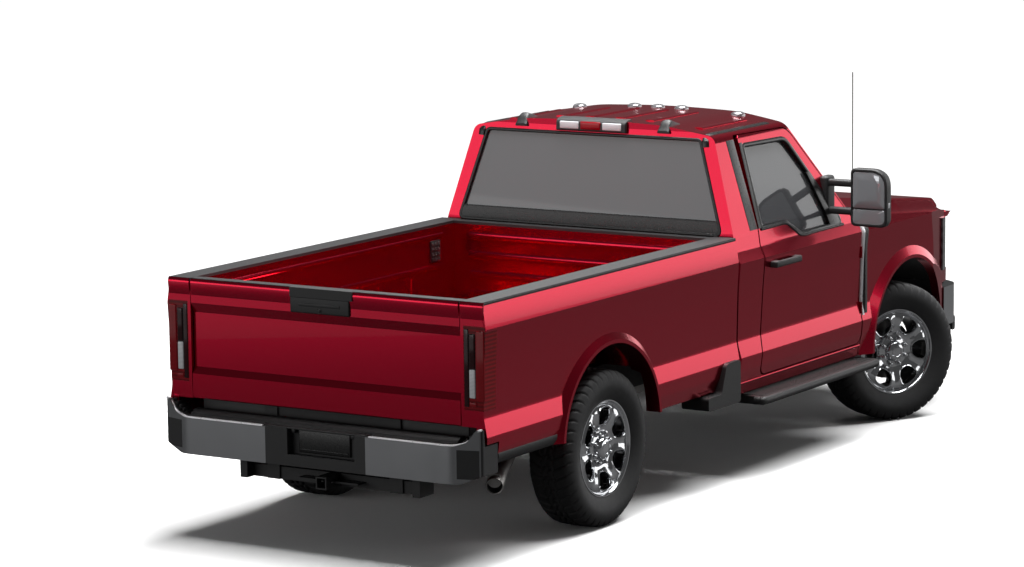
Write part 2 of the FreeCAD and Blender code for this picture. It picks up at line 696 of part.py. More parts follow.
def build_doors(outer, inner):
    slab = prism("door_slab", "XZ", door_outline(size(0)), roof_edge_half / 2, mirror_reach)
    window = prism("door_window", "XZ", window_outline(size(0)), roof_edge_half / 2, mirror_reach)
    skin = common("door_skin", outer, slab)
    hollow = box("door_inside", s.door_rear_x - 200, s.door_front_x + 100, 0, s.body_half - s.door_depth,
                 s.sill_z, s.belt_z)
    latch_z = s.shoulder_z - 240
    slot = box("latch_slot", s.door_rear_x - 60, s.door_rear_x + 20, s.body_half - s.door_depth - 5,
               s.body_half - s.door_depth + 30 + s.play, latch_z - s.play, latch_z + s.striker + s.play)
    panel = cut("door_panel", skin, inner, hollow, window, slot)
    grip = prism("door_grip", "XY", [
        (s.door_rear_x + 72, s.body_half - 20), (s.door_rear_x + 92, s.body_half + 34, 16),
        (s.door_rear_x + 352, s.body_half + 34, 16), (s.door_rear_x + 372, s.body_half - 20),
    ], s.shoulder_z - 66, s.shoulder_z - 34)
    fingers = box("door_fingers", s.door_rear_x + 130, s.door_rear_x + 330, s.body_half - 20, s.body_half + 16,
                  s.shoulder_z - 70, s.shoulder_z - 30)
    handle = cut("door_handle", grip, fingers)
    left = fuse("door_left_body", panel, handle)
    node(left, "door_left")
    node(mirrored("door_right_body", left), "door_right")
    pane_volume = cut("pane_skin", cab_volume("pane_outer", s.glass * 3, s.glass * 3, s.cab_floor_z),
                      cab_volume("pane_inner", s.glass * 4, s.glass * 4, s.cab_floor_z))
    pane = common("door_pane", pane_volume,
                  prism("pane_outline", "XZ", window_outline(s.play), roof_edge_half / 2, mirror_reach))
    node(pane, "door_glass_left")
    node(mirrored("door_pane_right", pane), "door_glass_right")
    inner_half = mirror_reach - s.mirror_wide
    back = s.mirror_x - s.mirror_deep / 2
    head = prism("mirror_head", "XY", [
        (back, inner_half, 18),
        (s.mirror_x + s.mirror_deep * 0.3, inner_half, 30),
        (s.mirror_x + s.mirror_deep / 2, inner_half + s.mirror_wide * 0.6, 60),
        (s.mirror_x + s.mirror_deep * 0.1, mirror_reach, 40),
        (back, mirror_reach, 14),
    ], s.mirror_z, s.mirror_z + s.mirror_tall)
    arms = [box("mirror_arm", s.mirror_x - 22, s.mirror_x + 26, belt_half - 30, inner_half + 20, low, low + 40)
            for low in (s.mirror_z + 62, s.mirror_z + s.mirror_tall - 120)]
    sail = box("mirror_sail", s.mirror_x - 40, s.mirror_x + 60, belt_half - 34, belt_half + 16,
               s.mirror_z + 40, s.mirror_z + s.mirror_tall - 60)
    panes = [box("mirror_pane_%d" % index, back - 1, back + 6, inner_half + 16, mirror_reach - 16, low, high)
             for index, (low, high) in enumerate((
                 (s.mirror_z + 16, s.mirror_z + 92), (s.mirror_z + 108, s.mirror_z + s.mirror_tall - 16)))]
    mirror = cut("mirror", fuse("mirror_whole", head, sail, *arms), outer, *panes)
    node(mirror, "mirror_left")
    node(mirrored("mirror_other", mirror), "mirror_right")


def build_bed():
    """Floor, headboard and wheelhouses in one; then the two sides."""
    front = bed_inner_front
    floor = box("bed_floor", tailgate_inner_x + 14, front + s.bed_head, -bed_inner_half, bed_inner_half,
                bed_floor_low, s.bed_floor_z - s.bed_rib)
    ribs = []
    count = 11
    pitch = bed_inner_half * 2 / count
    for index in range(count):
        low = -bed_inner_half + pitch * (index + 0.2)
        ribs.append(box("floor_rib_%d" % index, tailgate_inner_x + 14, front, low, low + pitch * 0.6,
                        s.bed_floor_z - s.bed_rib, s.bed_floor_z))
    head = box("headboard", front, front + s.bed_head, -bed_inner_half, bed_inner_half,
               s.bed_floor_z - s.bed_rib, s.rail_z)
    house = cylinder("wheelhouse", "Y", s.arch_radius + s.liner * 2, wheelhouse_half,
                     bed_inner_half - wheelhouse_half, (rear_axle_x, arch_z))
    cavity = cylinder("wheel_cavity", "Y", s.arch_radius + s.liner, wheelhouse_half + s.liner,
                      bed_inner_half, (rear_axle_x, arch_z))
    below = box("house_below", rear_axle_x * 2, 0, 0, bed_inner_half * 2, -s.arch_radius, bed_floor_low)
    houses = both("wheelhouses", cut("wheelhouse_half", house, below))
    cavities = both("wheel_cavities", cavity)
    whole = fuse("bed_whole", floor, head, houses, *ribs)
    node(cut("bed", whole, cavities), "bed")
    section = prism("bedside_section", "YZ", [
        (bed_inner_half, s.rail_z),
        (bed_inner_half, bed_floor_low),
        (s.body_half - 62, bed_floor_low - 30),
        (s.body_half - 74, s.bed_skirt_z),
        (s.body_half - 26, s.bed_skirt_z),
    ] + side_skin(0) + [
        (s.body_half - 22, s.shoulder_z + 60, 40),
        (s.body_half - 22, s.rail_z, 12),
    ], tailgate_x, bed_front_x)
    lip = cut("arch_flare", wheel_flare("arch_flare_cone", s.arch_radius, rear_axle_x, arch_z, s.body_half - 60),
              box("flare_below", rear_axle_x * 2, 0, 0, mirror_reach, -s.arch_radius, s.bed_skirt_z))
    arch = cylinder("arch_cut", "Y", s.arch_radius, 0, mirror_reach, (rear_axle_x, arch_z))
    low = box("arch_low", rear_axle_x - s.arch_radius, rear_axle_x + s.arch_radius, 0, mirror_reach,
              0, arch_z)
    inner = cylinder("arch_inner", "Y", s.arch_radius + s.liner * 2, 0, bed_inner_half + 40,
                     (rear_axle_x, arch_z))
    lamp = box("lamp_pocket", tailgate_x - 10, tailgate_x + 110, bed_inner_half + 18, mirror_reach,
               s.shelf_z + 90, s.rail_z - 108)
    socket = cylinder("tailgate_socket", "Y", s.tailgate_pin + s.play, 0, bed_inner_half + 15,
                      (tailgate_x + s.tailgate_thick / 2, s.tailgate_pin_z))
    corner = box("bumper_corner", tailgate_x - 10, tailgate_x + s.bumper_wrap + 8, 0, mirror_reach,
                 0, s.bumper_z + 8)
    post = box("gate_post", tailgate_x + 2, tailgate_x + 92, bed_inner_half, s.body_half - 60,
               s.tailgate_bottom_z, bed_floor_low + 1)
    side = cut("bedside", fuse("bedside_whole", section, lip, post), arch, low, inner, lamp, socket, corner)
    node(side, "bedside_left")
    node(mirrored("bedside_other", side), "bedside_right")
    lamp_body = common("tail_lamp", section, box("tail_lamp_box", tailgate_x, tailgate_x + 110,
                                                 bed_inner_half + 18, mirror_reach, s.shelf_z + 90,
                                                 s.rail_z - 108))
    node(both("tail_lamps", lamp_body), "tail_lamps")
    cap = box("rail_cap_left", tailgate_x + 2, bed_front_x - 6, bed_inner_half, s.body_half - 20,
              s.rail_z, s.rail_z + s.rail_cap)
    head_cap = box("head_cap", front, front + s.bed_head, -bed_inner_half, bed_inner_half,
                   s.rail_z, s.rail_z + s.rail_cap)
    node(fuse("rail_caps", both("side_caps", cap), head_cap), "rail_caps")
    return side


def build_tailgate():
    face = tailgate_x
    low = s.tailgate_bottom_z
    body = prism("tailgate_body", "XZ", [
        (face, s.rail_z, 6),
        (face, s.rail_z - 116),
        (face + 22, s.rail_z - 168),
        (face + 22, low + 168),
        (face, low + 132),
        (face, low, 8),
        (face + s.tailgate_thick, low, 8),
        (face + s.tailgate_thick, s.rail_z, 6),
    ], -tailgate_half, tailgate_half)
    pin = cylinder("tailgate_pin", "Y", s.tailgate_pin, -bed_inner_half - 13, bed_inner_half * 2 + 26,
                   (face + s.tailgate_thick / 2, s.tailgate_pin_z))
    body = fuse("tailgate_whole", body, pin)
    node(body, "tailgate")
    cap = box("tailgate_top", face + 2, face + s.tailgate_thick - 2, -tailgate_half, tailgate_half,
              s.rail_z, s.rail_z + s.rail_cap)
    handle = box("tailgate_grip", face - 12, face + 2, -196, 196, s.rail_z - 34, s.rail_z + s.rail_cap)
    node(cut("tailgate_cap", fuse("tailgate_cap_whole", cap, handle), body), "tailgate_cap")


def build_front():
    """Fenders, wheel liners, hood, radiator, grille, headlamps and bumper."""
    start = s.door_front_x + s.fender_gap
    nose_z = s.hood_front_z - 60

    def nose(label, inset):
        return prism(label, "XZ", [
            (start, s.sill_z),
            (fender_front_x - inset, s.sill_z),
            (fender_front_x - inset, nose_z - 40 - inset, 30),
            (fender_front_x - 60 - inset, nose_z + 10 - inset, 200),
            (start, s.cowl_z - 20 - inset),
        ], 0, mirror_reach)

    def plan(label, inset):
        return prism(label, "XY", [
            (start, hood_half - 100),
            (fender_front_x - inset, hood_half - 100),
            (fender_front_x - inset, s.body_half - 92 - inset, 60),
            (s.front_axle_x + 200, s.body_half + 20 - inset, 900),
            (start, s.body_half + 20 - inset),
        ], s.sill_z, s.roof_z)

    outer = common("fender_outer", nose("fender_nose", 0), fender_section("fender_side", 0, start, front_end),
                   plan("fender_plan", 0))
    inner = common("fender_inner", nose("fender_nose_in", s.fender_wall),
                   fender_section("fender_side_in", s.fender_wall, start, front_end),
                   plan("fender_plan_in", s.fender_wall))
    lip = common("fender_flare",
                 wheel_flare("fender_flare_cone", s.front_arch_radius, s.front_axle_x, front_arch_z,
                             s.body_half - s.fender_wall),
                 plan("flare_plan", -s.flare),
                 box("flare_above", start, front_end, 0, mirror_reach, s.sill_z, s.roof_z))
    arch = cylinder("fender_arch", "Y", s.front_arch_radius, 0, mirror_reach, (s.front_axle_x, front_arch_z))
    low = box("fender_low", s.front_axle_x - s.front_arch_radius, front_end, 0, mirror_reach,
              0, front_arch_z)
    clip = box("fender_clip", fender_front_x - 190, front_end, 0, mirror_reach, 0, s.shelf_z + 20)
    beside_cab = box("fender_beside_cab", s.door_front_x, s.firewall_x + s.play, 0, s.body_half - s.fender_tuck,
                     0, s.roof_z)
    lamp = box("fender_lamp", fender_front_x - 170, front_end, 0, mirror_reach, s.shelf_z + 100, nose_z - 30)
    fender = cut("fender", fuse("fender_whole", cut("fender_shell", outer, inner), lip), arch, low, clip, lamp,
                 beside_cab)
    node(fender, "fender_left")
    node(mirrored("fender_other", fender), "fender_right")
    vent = box("fender_vent_block", start + 20, start + 44, s.body_half - s.shelf_step - 4, s.body_half + 6,
               s.shelf_z, s.shoulder_z - 10)
    node(both("fender_vents", cut("fender_vent", vent, outer)), "fender_vents")

    ring = cut("liner_ring",
               cylinder("liner_out", "Y", s.front_arch_radius + s.liner, s.rail_half + 12,
                        s.body_half - s.fender_wall - s.rail_half - 12, (s.front_axle_x, front_arch_z)),
               cylinder("liner_in", "Y", s.front_arch_radius, s.rail_half + 12 + s.liner, mirror_reach,
                        (s.front_axle_x, front_arch_z)))
    above = box("liner_above", start + 40, fender_front_x - 175, 0, mirror_reach,
                s.rail_front_z + s.rail_height + 20, s.roof_z)
    node(both("wheel_liners", cut("wheel_liner", common("wheel_liner_ring", ring, above), fender)), "wheel_liners")

    def hood_side(label, inset):
        return prism(label, "XZ", [
            (s.hood_rear_x, s.hood_front_z - 200),
            (hood_front_x - inset, s.hood_front_z - 200),
            (hood_front_x - inset, s.hood_front_z - 44 - inset, 18),
            (hood_front_x - 70 - inset, s.hood_front_z + 10 - inset, 120),
            (s.hood_rear_x, s.hood_rear_z + 8 - inset),
        ], -mirror_reach, mirror_reach)

    def hood_section(label, inset):
        top = s.hood_rear_z - inset
        left = [
            (hood_half, s.hood_front_z - 200),
            (hood_half, top - 66),
            (hood_half - 120, top - 30, 120),
            (hood_half - 250, top + 8, 60),
            (hood_half - 330, top - 14, 60),
        ]
        right = [(-point[0], *point[1:]) for point in reversed(left)]
        return prism(label, "YZ", left + [(size(0), top - 6, 4000)] + right, s.hood_rear_x, hood_front_x)

    hood_outer = common("hood_outer", hood_side("hood_side", 0), hood_section("hood_section", 0))
    hood_inner = common("hood_inner", hood_side("hood_side_in", s.hood_thick),
                        hood_section("hood_section_in", s.hood_thick))
    floor = box("hood_under", s.hood_rear_x - 10, hood_front_x + 10, -mirror_reach, mirror_reach,
                0, s.hood_front_z - 66)
    pads = both("hood_pads", box("hood_pad", s.hood_rear_x, s.hood_rear_x + 60, hood_hinge_half - 20,
                                 hood_hinge_half + 20, s.hood_hinge_z - 14, s.hood_hinge_z + 20))
    node(fuse("hood_whole", cut("hood_panel", hood_outer, hood_inner, floor), pads), "hood")

    grille_x = hood_front_x
    surround = box("grille_surround", grille_x - 60, grille_x + 26, -hood_half + 130, hood_half - 130,
                   s.shelf_z, s.hood_front_z - 76)
    hollow = box("grille_hollow", grille_x - 70, grille_x + 60, -hood_half + 160, hood_half - 160,
                 s.shelf_z + 40, s.hood_front_z - 120)
    bars = [box("grille_bar_%d" % index, grille_x - 50, grille_x + 34, -hood_half + 160, hood_half - 160,
                s.shelf_z + 92 + 96 * index, s.shelf_z + 134 + 96 * index) for index in range(4)]
    node(fuse("grille", cut("grille_frame", surround, hollow), *bars), "grille")
    lamp_body = common("headlamp",
                       box("headlamp_box", fender_front_x - 170, grille_x + 6, hood_half - 130,
                           mirror_reach, s.shelf_z + 100, nose_z - 30),
                       prism("headlamp_plan", "XY", [
                           (start, 0),
                           (grille_x + 6, 0),
                           (grille_x + 6, hood_half - 30, 90),
                           (fender_front_x - 20, s.body_half - 62, 300),
                           (s.front_axle_x + 200, s.body_half - 2, 900),
                           (start, s.body_half - 2),
                       ], s.sill_z, s.roof_z))
    node(both("headlamps", lamp_body), "headlamps")
    node(box("radiator_core", grille_x - 170, grille_x - 105, -s.rail_half - 100, s.rail_half + 100,
             s.rail_front_z - 50 + s.rail_height * 0.8, s.hood_front_z - 130), "radiator")
    bumper = prism("bumper_plan", "XY", [
        (s.front_axle_x + s.front_arch_radius + 40, s.body_half - 30),
        (fender_front_x + 60, s.body_half - 46, 200),
        (front_end, hood_half - 160, 260),
        (front_end, -hood_half + 160, 260),
        (fender_front_x + 60, -s.body_half + 46, 200),
        (s.front_axle_x + s.front_arch_radius + 40, -s.body_half + 30),
        (s.front_axle_x + s.front_arch_radius + 40, -s.body_half + 80),
        (fender_front_x + 60, -s.body_half + 130, 120),
        (front_end - 120, -hood_half + 190, 200),
        (front_end - 120, hood_half - 190, 200),
        (fender_front_x + 60, s.body_half - 130, 120),
        (s.front_axle_x + s.front_arch_radius + 40, s.body_half - 80),
    ], s.sill_z + 10, s.shelf_z - 6)
    node(bumper, "front_bumper")
    return fender


def build_frame():
    """Ladder frame with kick-ups over both axles, cross members and brackets."""
    height = s.rail_height
    low, front_z, rear_z = s.rail_low_z, s.rail_front_z, s.rail_rear_z
    front = s.front_axle_x
    rear = rear_axle_x
    bottom = [
        (tailgate_x + 70, rear_z),
        (rear + 520, rear_z, 300),
        (rear + 760, low, 300),
        (front - 480, low, 300),
        (front - 260, front_z, 300),
        (front + 420, front_z, 200),
        (front + 540, front_z - 50, 200),
        (fender_front_x + 90, front_z - 50),
    ]
    rail = prism("frame_rail", "XZ", bottom + [
        (fender_front_x + 90, front_z - 50 + height * 0.8),
        (front + 540, front_z - 50 + height * 0.8, 200),
        (front + 420, front_z + height, 200),
        (front - 260, front_z + height, 300),
        (front - 480, low + height, 300),
        (rear + 760, low + height, 300),
        (rear + 520, rear_z + height, 300),
        (tailgate_x + 70, rear_z + height),
    ], rail_inner, s.rail_half)
    rails = both("frame_rails", rail)
    pieces = [rails]
    spots = (
        (tailgate_x + 80, rear_z + 30), (rear - 420, rear_z + 30), (rear + 420, rear_z + 40),
        (s.spare_x - 35, rear_z + 30), (rear + 900, low + 40), (s.door_rear_x + 340, low + 89),
        (fender_front_x - 20, front_z - 30),
    )
    for index, (x, z) in enumerate(spots):
        pieces.append(box("cross_member_%d" % index, x, x + 70, -rail_inner - 1, rail_inner + 1, z, z + 90))
    for index, x in enumerate((s.cab_back_x + 60, s.firewall_x - 160)):
        pieces.append(both("cab_mounts_%d" % index,
                           box("cab_mount_%d" % index, x, x + 90, rail_inner, s.rail_half + 140,
                               low + height - 1, cab_floor_low)))
    for index, x in enumerate((tailgate_x + 160, rear - 460, rear + 470)):
        pieces.append(both("bed_mounts_%d" % index,
                           box("bed_mount_%d" % index, x, x + 80, rail_inner, s.rail_half + 60,
                               rear_z + height - 1, bed_floor_low)))
    outer_leaf = s.spring_half + s.leaf_width / 2 + 8
    for index, x in enumerate((rear + 700, rear - 700)):
        pieces.append(both("leaf_hangers_%d" % index,
                           box("leaf_hanger_%d" % index, x - 45, x + 45, s.rail_half - 1, outer_leaf,
                               rear_z + 30, rear_z + 70)))
    pieces.append(both("coil_towers", box("coil_tower", front - s.damper_back, front + 70, s.rail_half - 1,
                                          s.spring_half + s.coil_radius + 30, front_z + height - 20,
                                          front_z + height + 10)))
    pieces.append(both("damper_brackets", box("damper_bracket", rear - 36, rear + 36, s.rail_half - 1,
                                              damper_y + s.damper_radius, s.rear_damper_z,
                                              s.rear_damper_z + 30)))
    pieces.append(both("arm_brackets", box("arm_bracket", front - 860, front - 790, s.rail_half - 40,
                                           s.rail_half + 60, axle_z - 10, low + 1)))
    under = s.gearbox_z - s.gearbox_radius - s.play
    saddle_x = s.firewall_x - 420
    pieces.append(box("gearbox_cross", saddle_x, saddle_x + 80, -s.rail_half, s.rail_half, under - s.gearbox_cross,
                      under))
    pieces.append(both("gearbox_hangers", box("gearbox_hanger", saddle_x, saddle_x + 80, rail_inner, s.rail_half,
                                              under - 1, low + 1)))
    pieces.append(both("engine_mounts", box("engine_mount", front - 60, front + 60, rail_inner - 10,
                                            rail_inner + 1, front_z + 60, front_z + 130)))
    nose = fender_front_x + 90
    pieces.append(both("bumper_horns", box("bumper_horn", nose - 1, front_end - 120, rail_inner, s.rail_half,
                                           front_z - 40, front_z + 80)))
    pieces.append(both("bumper_tails", box("bumper_tail", tailgate_x + 20, tailgate_x + 71, rail_inner,
                                           s.rail_half, rear_z + 1, s.bumper_z - 2)))
    drum_z = s.spare_z - s.rim_offset + s.play
    pieces.append(cylinder("spare_winch", "Z", 22, drum_z, rear_z + 31 - drum_z, (s.spare_x, 0)))
    pieces.append(cylinder("spare_plate", "Z", s.centre_bore + 22, drum_z, 12, (s.spare_x, 0)))
    node(fuse("ladder_frame", *pieces), "ladder_frame")


def build_axles():
    front, rear = s.front_axle_x, rear_axle_x
    tube_end = s.kingpin_half - 62
    tube = cylinder("front_tube", "Y", s.axle_tube, -tube_end, tube_end * 2, (front, axle_z))
    diff = cylinder("front_diff", "X", s.diff_radius, front - 130, 240, (s.diff_offset, axle_z))
    web = box("fork_web", front - 45, front + 45, tube_end - 22, tube_end, axle_z - 140, axle_z + 140)
    ears = [box("fork_ear", front - 42, front + 42, tube_end - 2, s.kingpin_half + 42, z, z + 32)
            for z in (axle_z + 108, axle_z - 140)]
    pad = box("coil_pad", front - s.damper_back, front + 70, s.spring_half - s.coil_radius - 6,
              s.spring_half + s.coil_radius + 6, axle_z + 30, axle_z + s.axle_tube + 14)
    ends = both("front_ends", fuse("front_end_left", web, pad, *ears))
    front_axle = node(fuse("front_axle_whole", tube, diff, ends), "front_axle")
    seat = s.rear_track_half + s.rim_offset
    rear_tube = cylinder("rear_tube", "Y", s.axle_tube + 6, -seat + 110, seat * 2 - 220, (rear, axle_z))
    rear_diff = cylinder("rear_diff", "X", s.diff_radius + 22, rear - 150, 300, (0, axle_z))
    hub = cylinder("rear_hub", "Y", 84, seat - 170, 170 - s.pilot_play, (rear, axle_z))
    pilot = cylinder("rear_pilot", "Y", s.centre_bore - s.pilot_play, seat - 10, 32, (rear, axle_z))
    perch = box("leaf_perch", rear - 75, rear + 75, s.spring_half - s.leaf_width / 2 - 6,
                s.spring_half + s.leaf_width / 2 + 6, axle_z + 40, axle_z + s.axle_tube + 22)
    rear_axle = node(fuse("rear_axle_whole", rear_tube, rear_diff,
                          both("rear_ends", fuse("rear_end_left", hub, pilot, perch))), "rear_axle")
    return front_axle, rear_axle


def build_suspension(rear_axle):
    front, rear = s.front_axle_x, rear_axle_x
    seat_z = axle_z + s.axle_tube + 22
    eye_z = s.rail_rear_z + 30 - s.leaf_thick
    leaf = prism("leaf", "XZ", [
        (rear - 740, eye_z), (rear - 500, seat_z + 40, 900), (rear - 120, seat_z, 900), (rear + 120, seat_z, 900),
        (rear + 500, seat_z + 40, 900), (rear + 740, eye_z),
        (rear + 740, eye_z + s.leaf_thick), (rear + 500, seat_z + s.leaf_thick * 1.2 + 40, 900),
        (rear + 120, seat_z + s.leaf_thick * 2, 900), (rear - 120, seat_z + s.leaf_thick * 2, 900),
        (rear - 500, seat_z + s.leaf_thick * 1.2 + 40, 900), (rear - 740, eye_z + s.leaf_thick),
    ], s.spring_half - s.leaf_width / 2, s.spring_half + s.leaf_width / 2)
    coil_low = axle_z + s.axle_tube + 14
    coil_high = s.rail_front_z + s.rail_height - 20
    coil = cylinder("coil", "Z", s.coil_radius, coil_low, coil_high - coil_low, (front, s.spring_half))
    arm = box("radius_arm", front - 790, front - s.damper_back, s.rail_half + 20, s.rail_half + 60, axle_z - 10,
              axle_z + 44)
    front_damper = cylinder("front_damper", "Z", s.damper_radius, coil_low, coil_high - coil_low,
                            (front - s.damper_back + s.damper_radius + 8, s.spring_half + 20))
    rear_damper = cut("rear_damper_seated",
                      cylinder("rear_damper", "Z", s.damper_radius, axle_z, s.rear_damper_z - axle_z,
                               (rear, damper_y)), rear_axle)
    node(both("suspension", group("suspension_left", leaf, coil, arm, front_damper, rear_damper)), "suspension")


def build_drive(front_axle, rear_axle):
    low = s.rail_low_z
    engine_back = s.firewall_x + 80
    node(box("engine_block", engine_back, s.front_axle_x + 420, -rail_inner + 10, rail_inner - 10,
             s.rail_front_z + 40, s.hood_front_z - 130), "engine")
    gearbox = cylinder("gearbox", "X", s.gearbox_radius, engine_back - 560, 560, (0, s.gearbox_z))
    bell = box("bell_housing", engine_back - 120, engine_back, -160, 160, s.gearbox_z - 100, s.gearbox_z + 118)
    case_x = engine_back - 860
    transfer = box("transfer_case", case_x, engine_back - 559, -110, s.diff_offset + 50, low - 50, low + 170)
    rear_shaft = bar("rear_shaft", s.shaft_radius, (case_x + 1, size(0), s.gearbox_z - 30),
                     (rear_axle_x + 150, size(0), axle_z + 10))
    front_shaft = bar("front_shaft", s.front_shaft_radius, (engine_back - 560, s.diff_offset, low + 20),
                      (s.front_axle_x - 130, s.diff_offset, axle_z + 10))
    node(cut("driveline", fuse("driveline_whole", gearbox, bell, transfer, rear_shaft, front_shaft),
             front_axle, rear_axle), "driveline")
    node(box("fuel_tank_body", rear_axle_x + 1180, s.door_rear_x + 330, rail_inner - 260, rail_inner,
             low - 60, low + 170), "fuel_tank")


def build_interior():
    floor = s.cab_floor_z
    inner_back = s.cab_back_x + s.wall
    base = box("seat_base", inner_back + 330, inner_back + 820, -640, 640, floor, floor + 170)
    cushion = box("seat_cushion", inner_back + 260, inner_back + 860, -690, 690, floor + 169, floor + 330)
    back = prism("seat_back", "XZ", [
        (inner_back + 230, floor + 200, 30), (inner_back + 370, floor + 200, 30),
        (inner_back + 270, floor + 860, 40), (inner_back + 140, floor + 860, 40),
    ], -690, 690)
    rests = [box("head_rest_%d" % index, inner_back + 130, inner_back + 230, y - 140, y + 140,
                 floor + 840, floor + 1010) for index, y in enumerate((-400, 400))]
    node(fuse("seat", base, cushion, back, *rests), "seat")
    dash_back = s.firewall_x - s.wall
    dashboard = node(prism("dashboard_body", "XZ", [
        (dash_back, floor + 240), (dash_back, s.cowl_z - 78), (dash_back - 260, s.cowl_z - 60, 60),
        (dash_back - 330, s.cowl_z - 140, 60), (dash_back - 240, floor + 250, 60),
    ], -s.body_half + s.door_depth + 24, s.body_half - s.door_depth - 24), "dashboard")
    wheel = revolve("steering_rim", [
        (172, -7), (179, -14), (191, -14), (198, -7), (198, 7), (191, 14), (179, 14), (172, 7)])
    boss = cylinder("steering_boss", "Y", 60, -20, 40, (0, 0))
    spoke = box("steering_spokes", -180, 180, -10, 10, -22, 22)
    post = cylinder("steering_post", "Y", 28, 10, 260, (0, 0))
    whole = fuse("steering_wheel_flat", wheel, boss, spoke, post)
    whole.Placement = FreeCAD.Placement(FreeCAD.Vector(), FreeCAD.Rotation(FreeCAD.Vector(0, 0, -1), 90))
    turned = group("steering_wheel_turned", whole)
    turned.Placement = FreeCAD.Placement(FreeCAD.Vector(), FreeCAD.Rotation(Y_AXIS, 25))
    place(turned, dash_back - 480, s.diff_offset + 130, s.cowl_z - 20)
    node(cut("steering_wheel_seated", turned, dashboard), "steering_wheel")


def build_rear(bedside):
    """Rear bumper, hitch receiver, exhaust, steps and spare wheel."""
    back = rear_end
    face = tailgate_x + 20
    wrap = tailgate_x + s.bumper_wrap
    bumper = prism("rear_bumper_plan", "XY", [
        (wrap, bumper_half), (back + 50, bumper_half, 20), (back, bumper_half - 170, 120),
        (back, -bumper_half + 170, 120), (back + 50, -bumper_half, 20), (wrap, -bumper_half),
        (wrap, -bumper_half + 60), (face, -bumper_half + 60), (face, bumper_half - 60),
        (wrap, bumper_half - 60),
    ], s.bumper_low_z, s.bumper_end_z)
    rise = [(bumper_half - 150, s.bumper_z, 60), (bumper_half - 80, s.bumper_z + 22, 40),
            (bumper_half - 30, s.bumper_end_z, 12), (bumper_half + 10, s.bumper_end_z)]
    left = [(-y, z, *rest) for y, z, *rest in reversed(rise)]
    front_low = prism("bumper_side_view", "XZ", [
        (back - 10, s.bumper_low_z - 10), (wrap + 10, s.bumper_low_z - 10), (wrap + 10, s.bumper_z),
        (tailgate_x - 12, s.bumper_z), (tailgate_x - 22, s.bumper_end_z + 10), (back - 10, s.bumper_end_z + 10),
    ], -s.body_half, s.body_half)
    face_view = prism("bumper_face_view", "YZ", [
        (-bumper_half - 10, s.bumper_low_z + 50), (-bumper_half + 120, s.bumper_low_z, 40),
        (bumper_half - 120, s.bumper_low_z, 40), (bumper_half + 10, s.bumper_low_z + 50),
    ] + rise[::-1] + left[::-1], back - 10, wrap + 10)
    bumper = common("rear_bumper_form", bumper, face_view, front_low)
    recess = box("plate_recess", back - 10, back + 45, s.plate_y - 212, s.plate_y + 212, s.bumper_low_z + 60,
                 s.bumper_z + 10)
    holes = [cylinder("plate_hole_%s" % name, "X", s.plate_hole, back, 75, (y, s.plate_hole_z))
             for name, y in (("left", s.plate_y + s.plate_pitch / 2), ("right", s.plate_y - s.plate_pitch / 2))]
    node(cut("rear_bumper", bumper, recess, *holes), "rear_bumper")
    half = s.receiver_bore / 2 + s.receiver_wall
    z = s.receiver_z - 60
    tube = box("receiver_tube", tailgate_x - 40, tailgate_x + 200, -half, half, z - half, z + half)
    bore = box("receiver_mouth", tailgate_x - 50, tailgate_x + 210, -s.receiver_bore / 2, s.receiver_bore / 2,
               z - s.receiver_bore / 2, z + s.receiver_bore / 2)
    cross = box("hitch_cross", tailgate_x + 90, tailgate_x + 160, -s.hitch_half, s.hitch_half, z - half, z + half)
    ends = both("hitch_ends", box("hitch_end", tailgate_x + 30, tailgate_x + 150, s.hitch_half - 46,
                                  s.hitch_half, z - half, s.bumper_low_z - 4))
    chains = box("chain_plate", tailgate_x + 20, tailgate_x + 91, -s.chain_half, s.chain_half, z - 5, z + 5)
    hangers = both("hitch_hangers", box("hitch_hanger", tailgate_x + 80, tailgate_x + 200, rail_inner,
                                        s.rail_half, z - half, s.rail_rear_z))
    pin = cylinder("hitch_pin_bore", "Y", s.hitch_pin_radius, -half * 2, half * 4, (tailgate_x + 10, z))
    node(cut("hitch", fuse("hitch_whole", tube, cross, hangers, ends, chains), bore, pin), "hitch")
    board = box("running_board", bed_front_x + 150, s.firewall_x - 40, s.body_half - 110, s.body_half + 70,
                s.sill_z - 66, s.sill_z - 20)
    legs = [box("board_leg_%d" % index, x, x + 60, s.rail_half, s.body_half - 109, s.rail_low_z - 90,
                s.rail_low_z - 50) for index, x in enumerate((s.door_rear_x, s.door_rear_x + 900))]
    drops = [box("board_drop_%d" % index, x, x + 60, s.rail_half, s.rail_half + 30, s.rail_low_z - 60,
                 s.rail_low_z + 60) for index, x in enumerate((s.door_rear_x, s.door_rear_x + 900))]
    step = prism("bedside_step", "XZ", [
        (bed_front_x - 400, s.sill_z - 20, 20), (bed_front_x - 30, s.sill_z - 20, 20),
        (bed_front_x - 30, s.shelf_z - 40, 20), (bed_front_x - 190, s.shelf_z - 40, 40),
        (bed_front_x - 250, s.bed_skirt_z - 10, 30), (bed_front_x - 400, s.bed_skirt_z - 10, 20),
    ], s.body_half - 150, s.body_half + 24)
    node(both("side_steps", group("side_steps_left", fuse("board_left", board, *legs, *drops),
                                  cut("bedside_step_seated", step, bedside))), "side_steps")


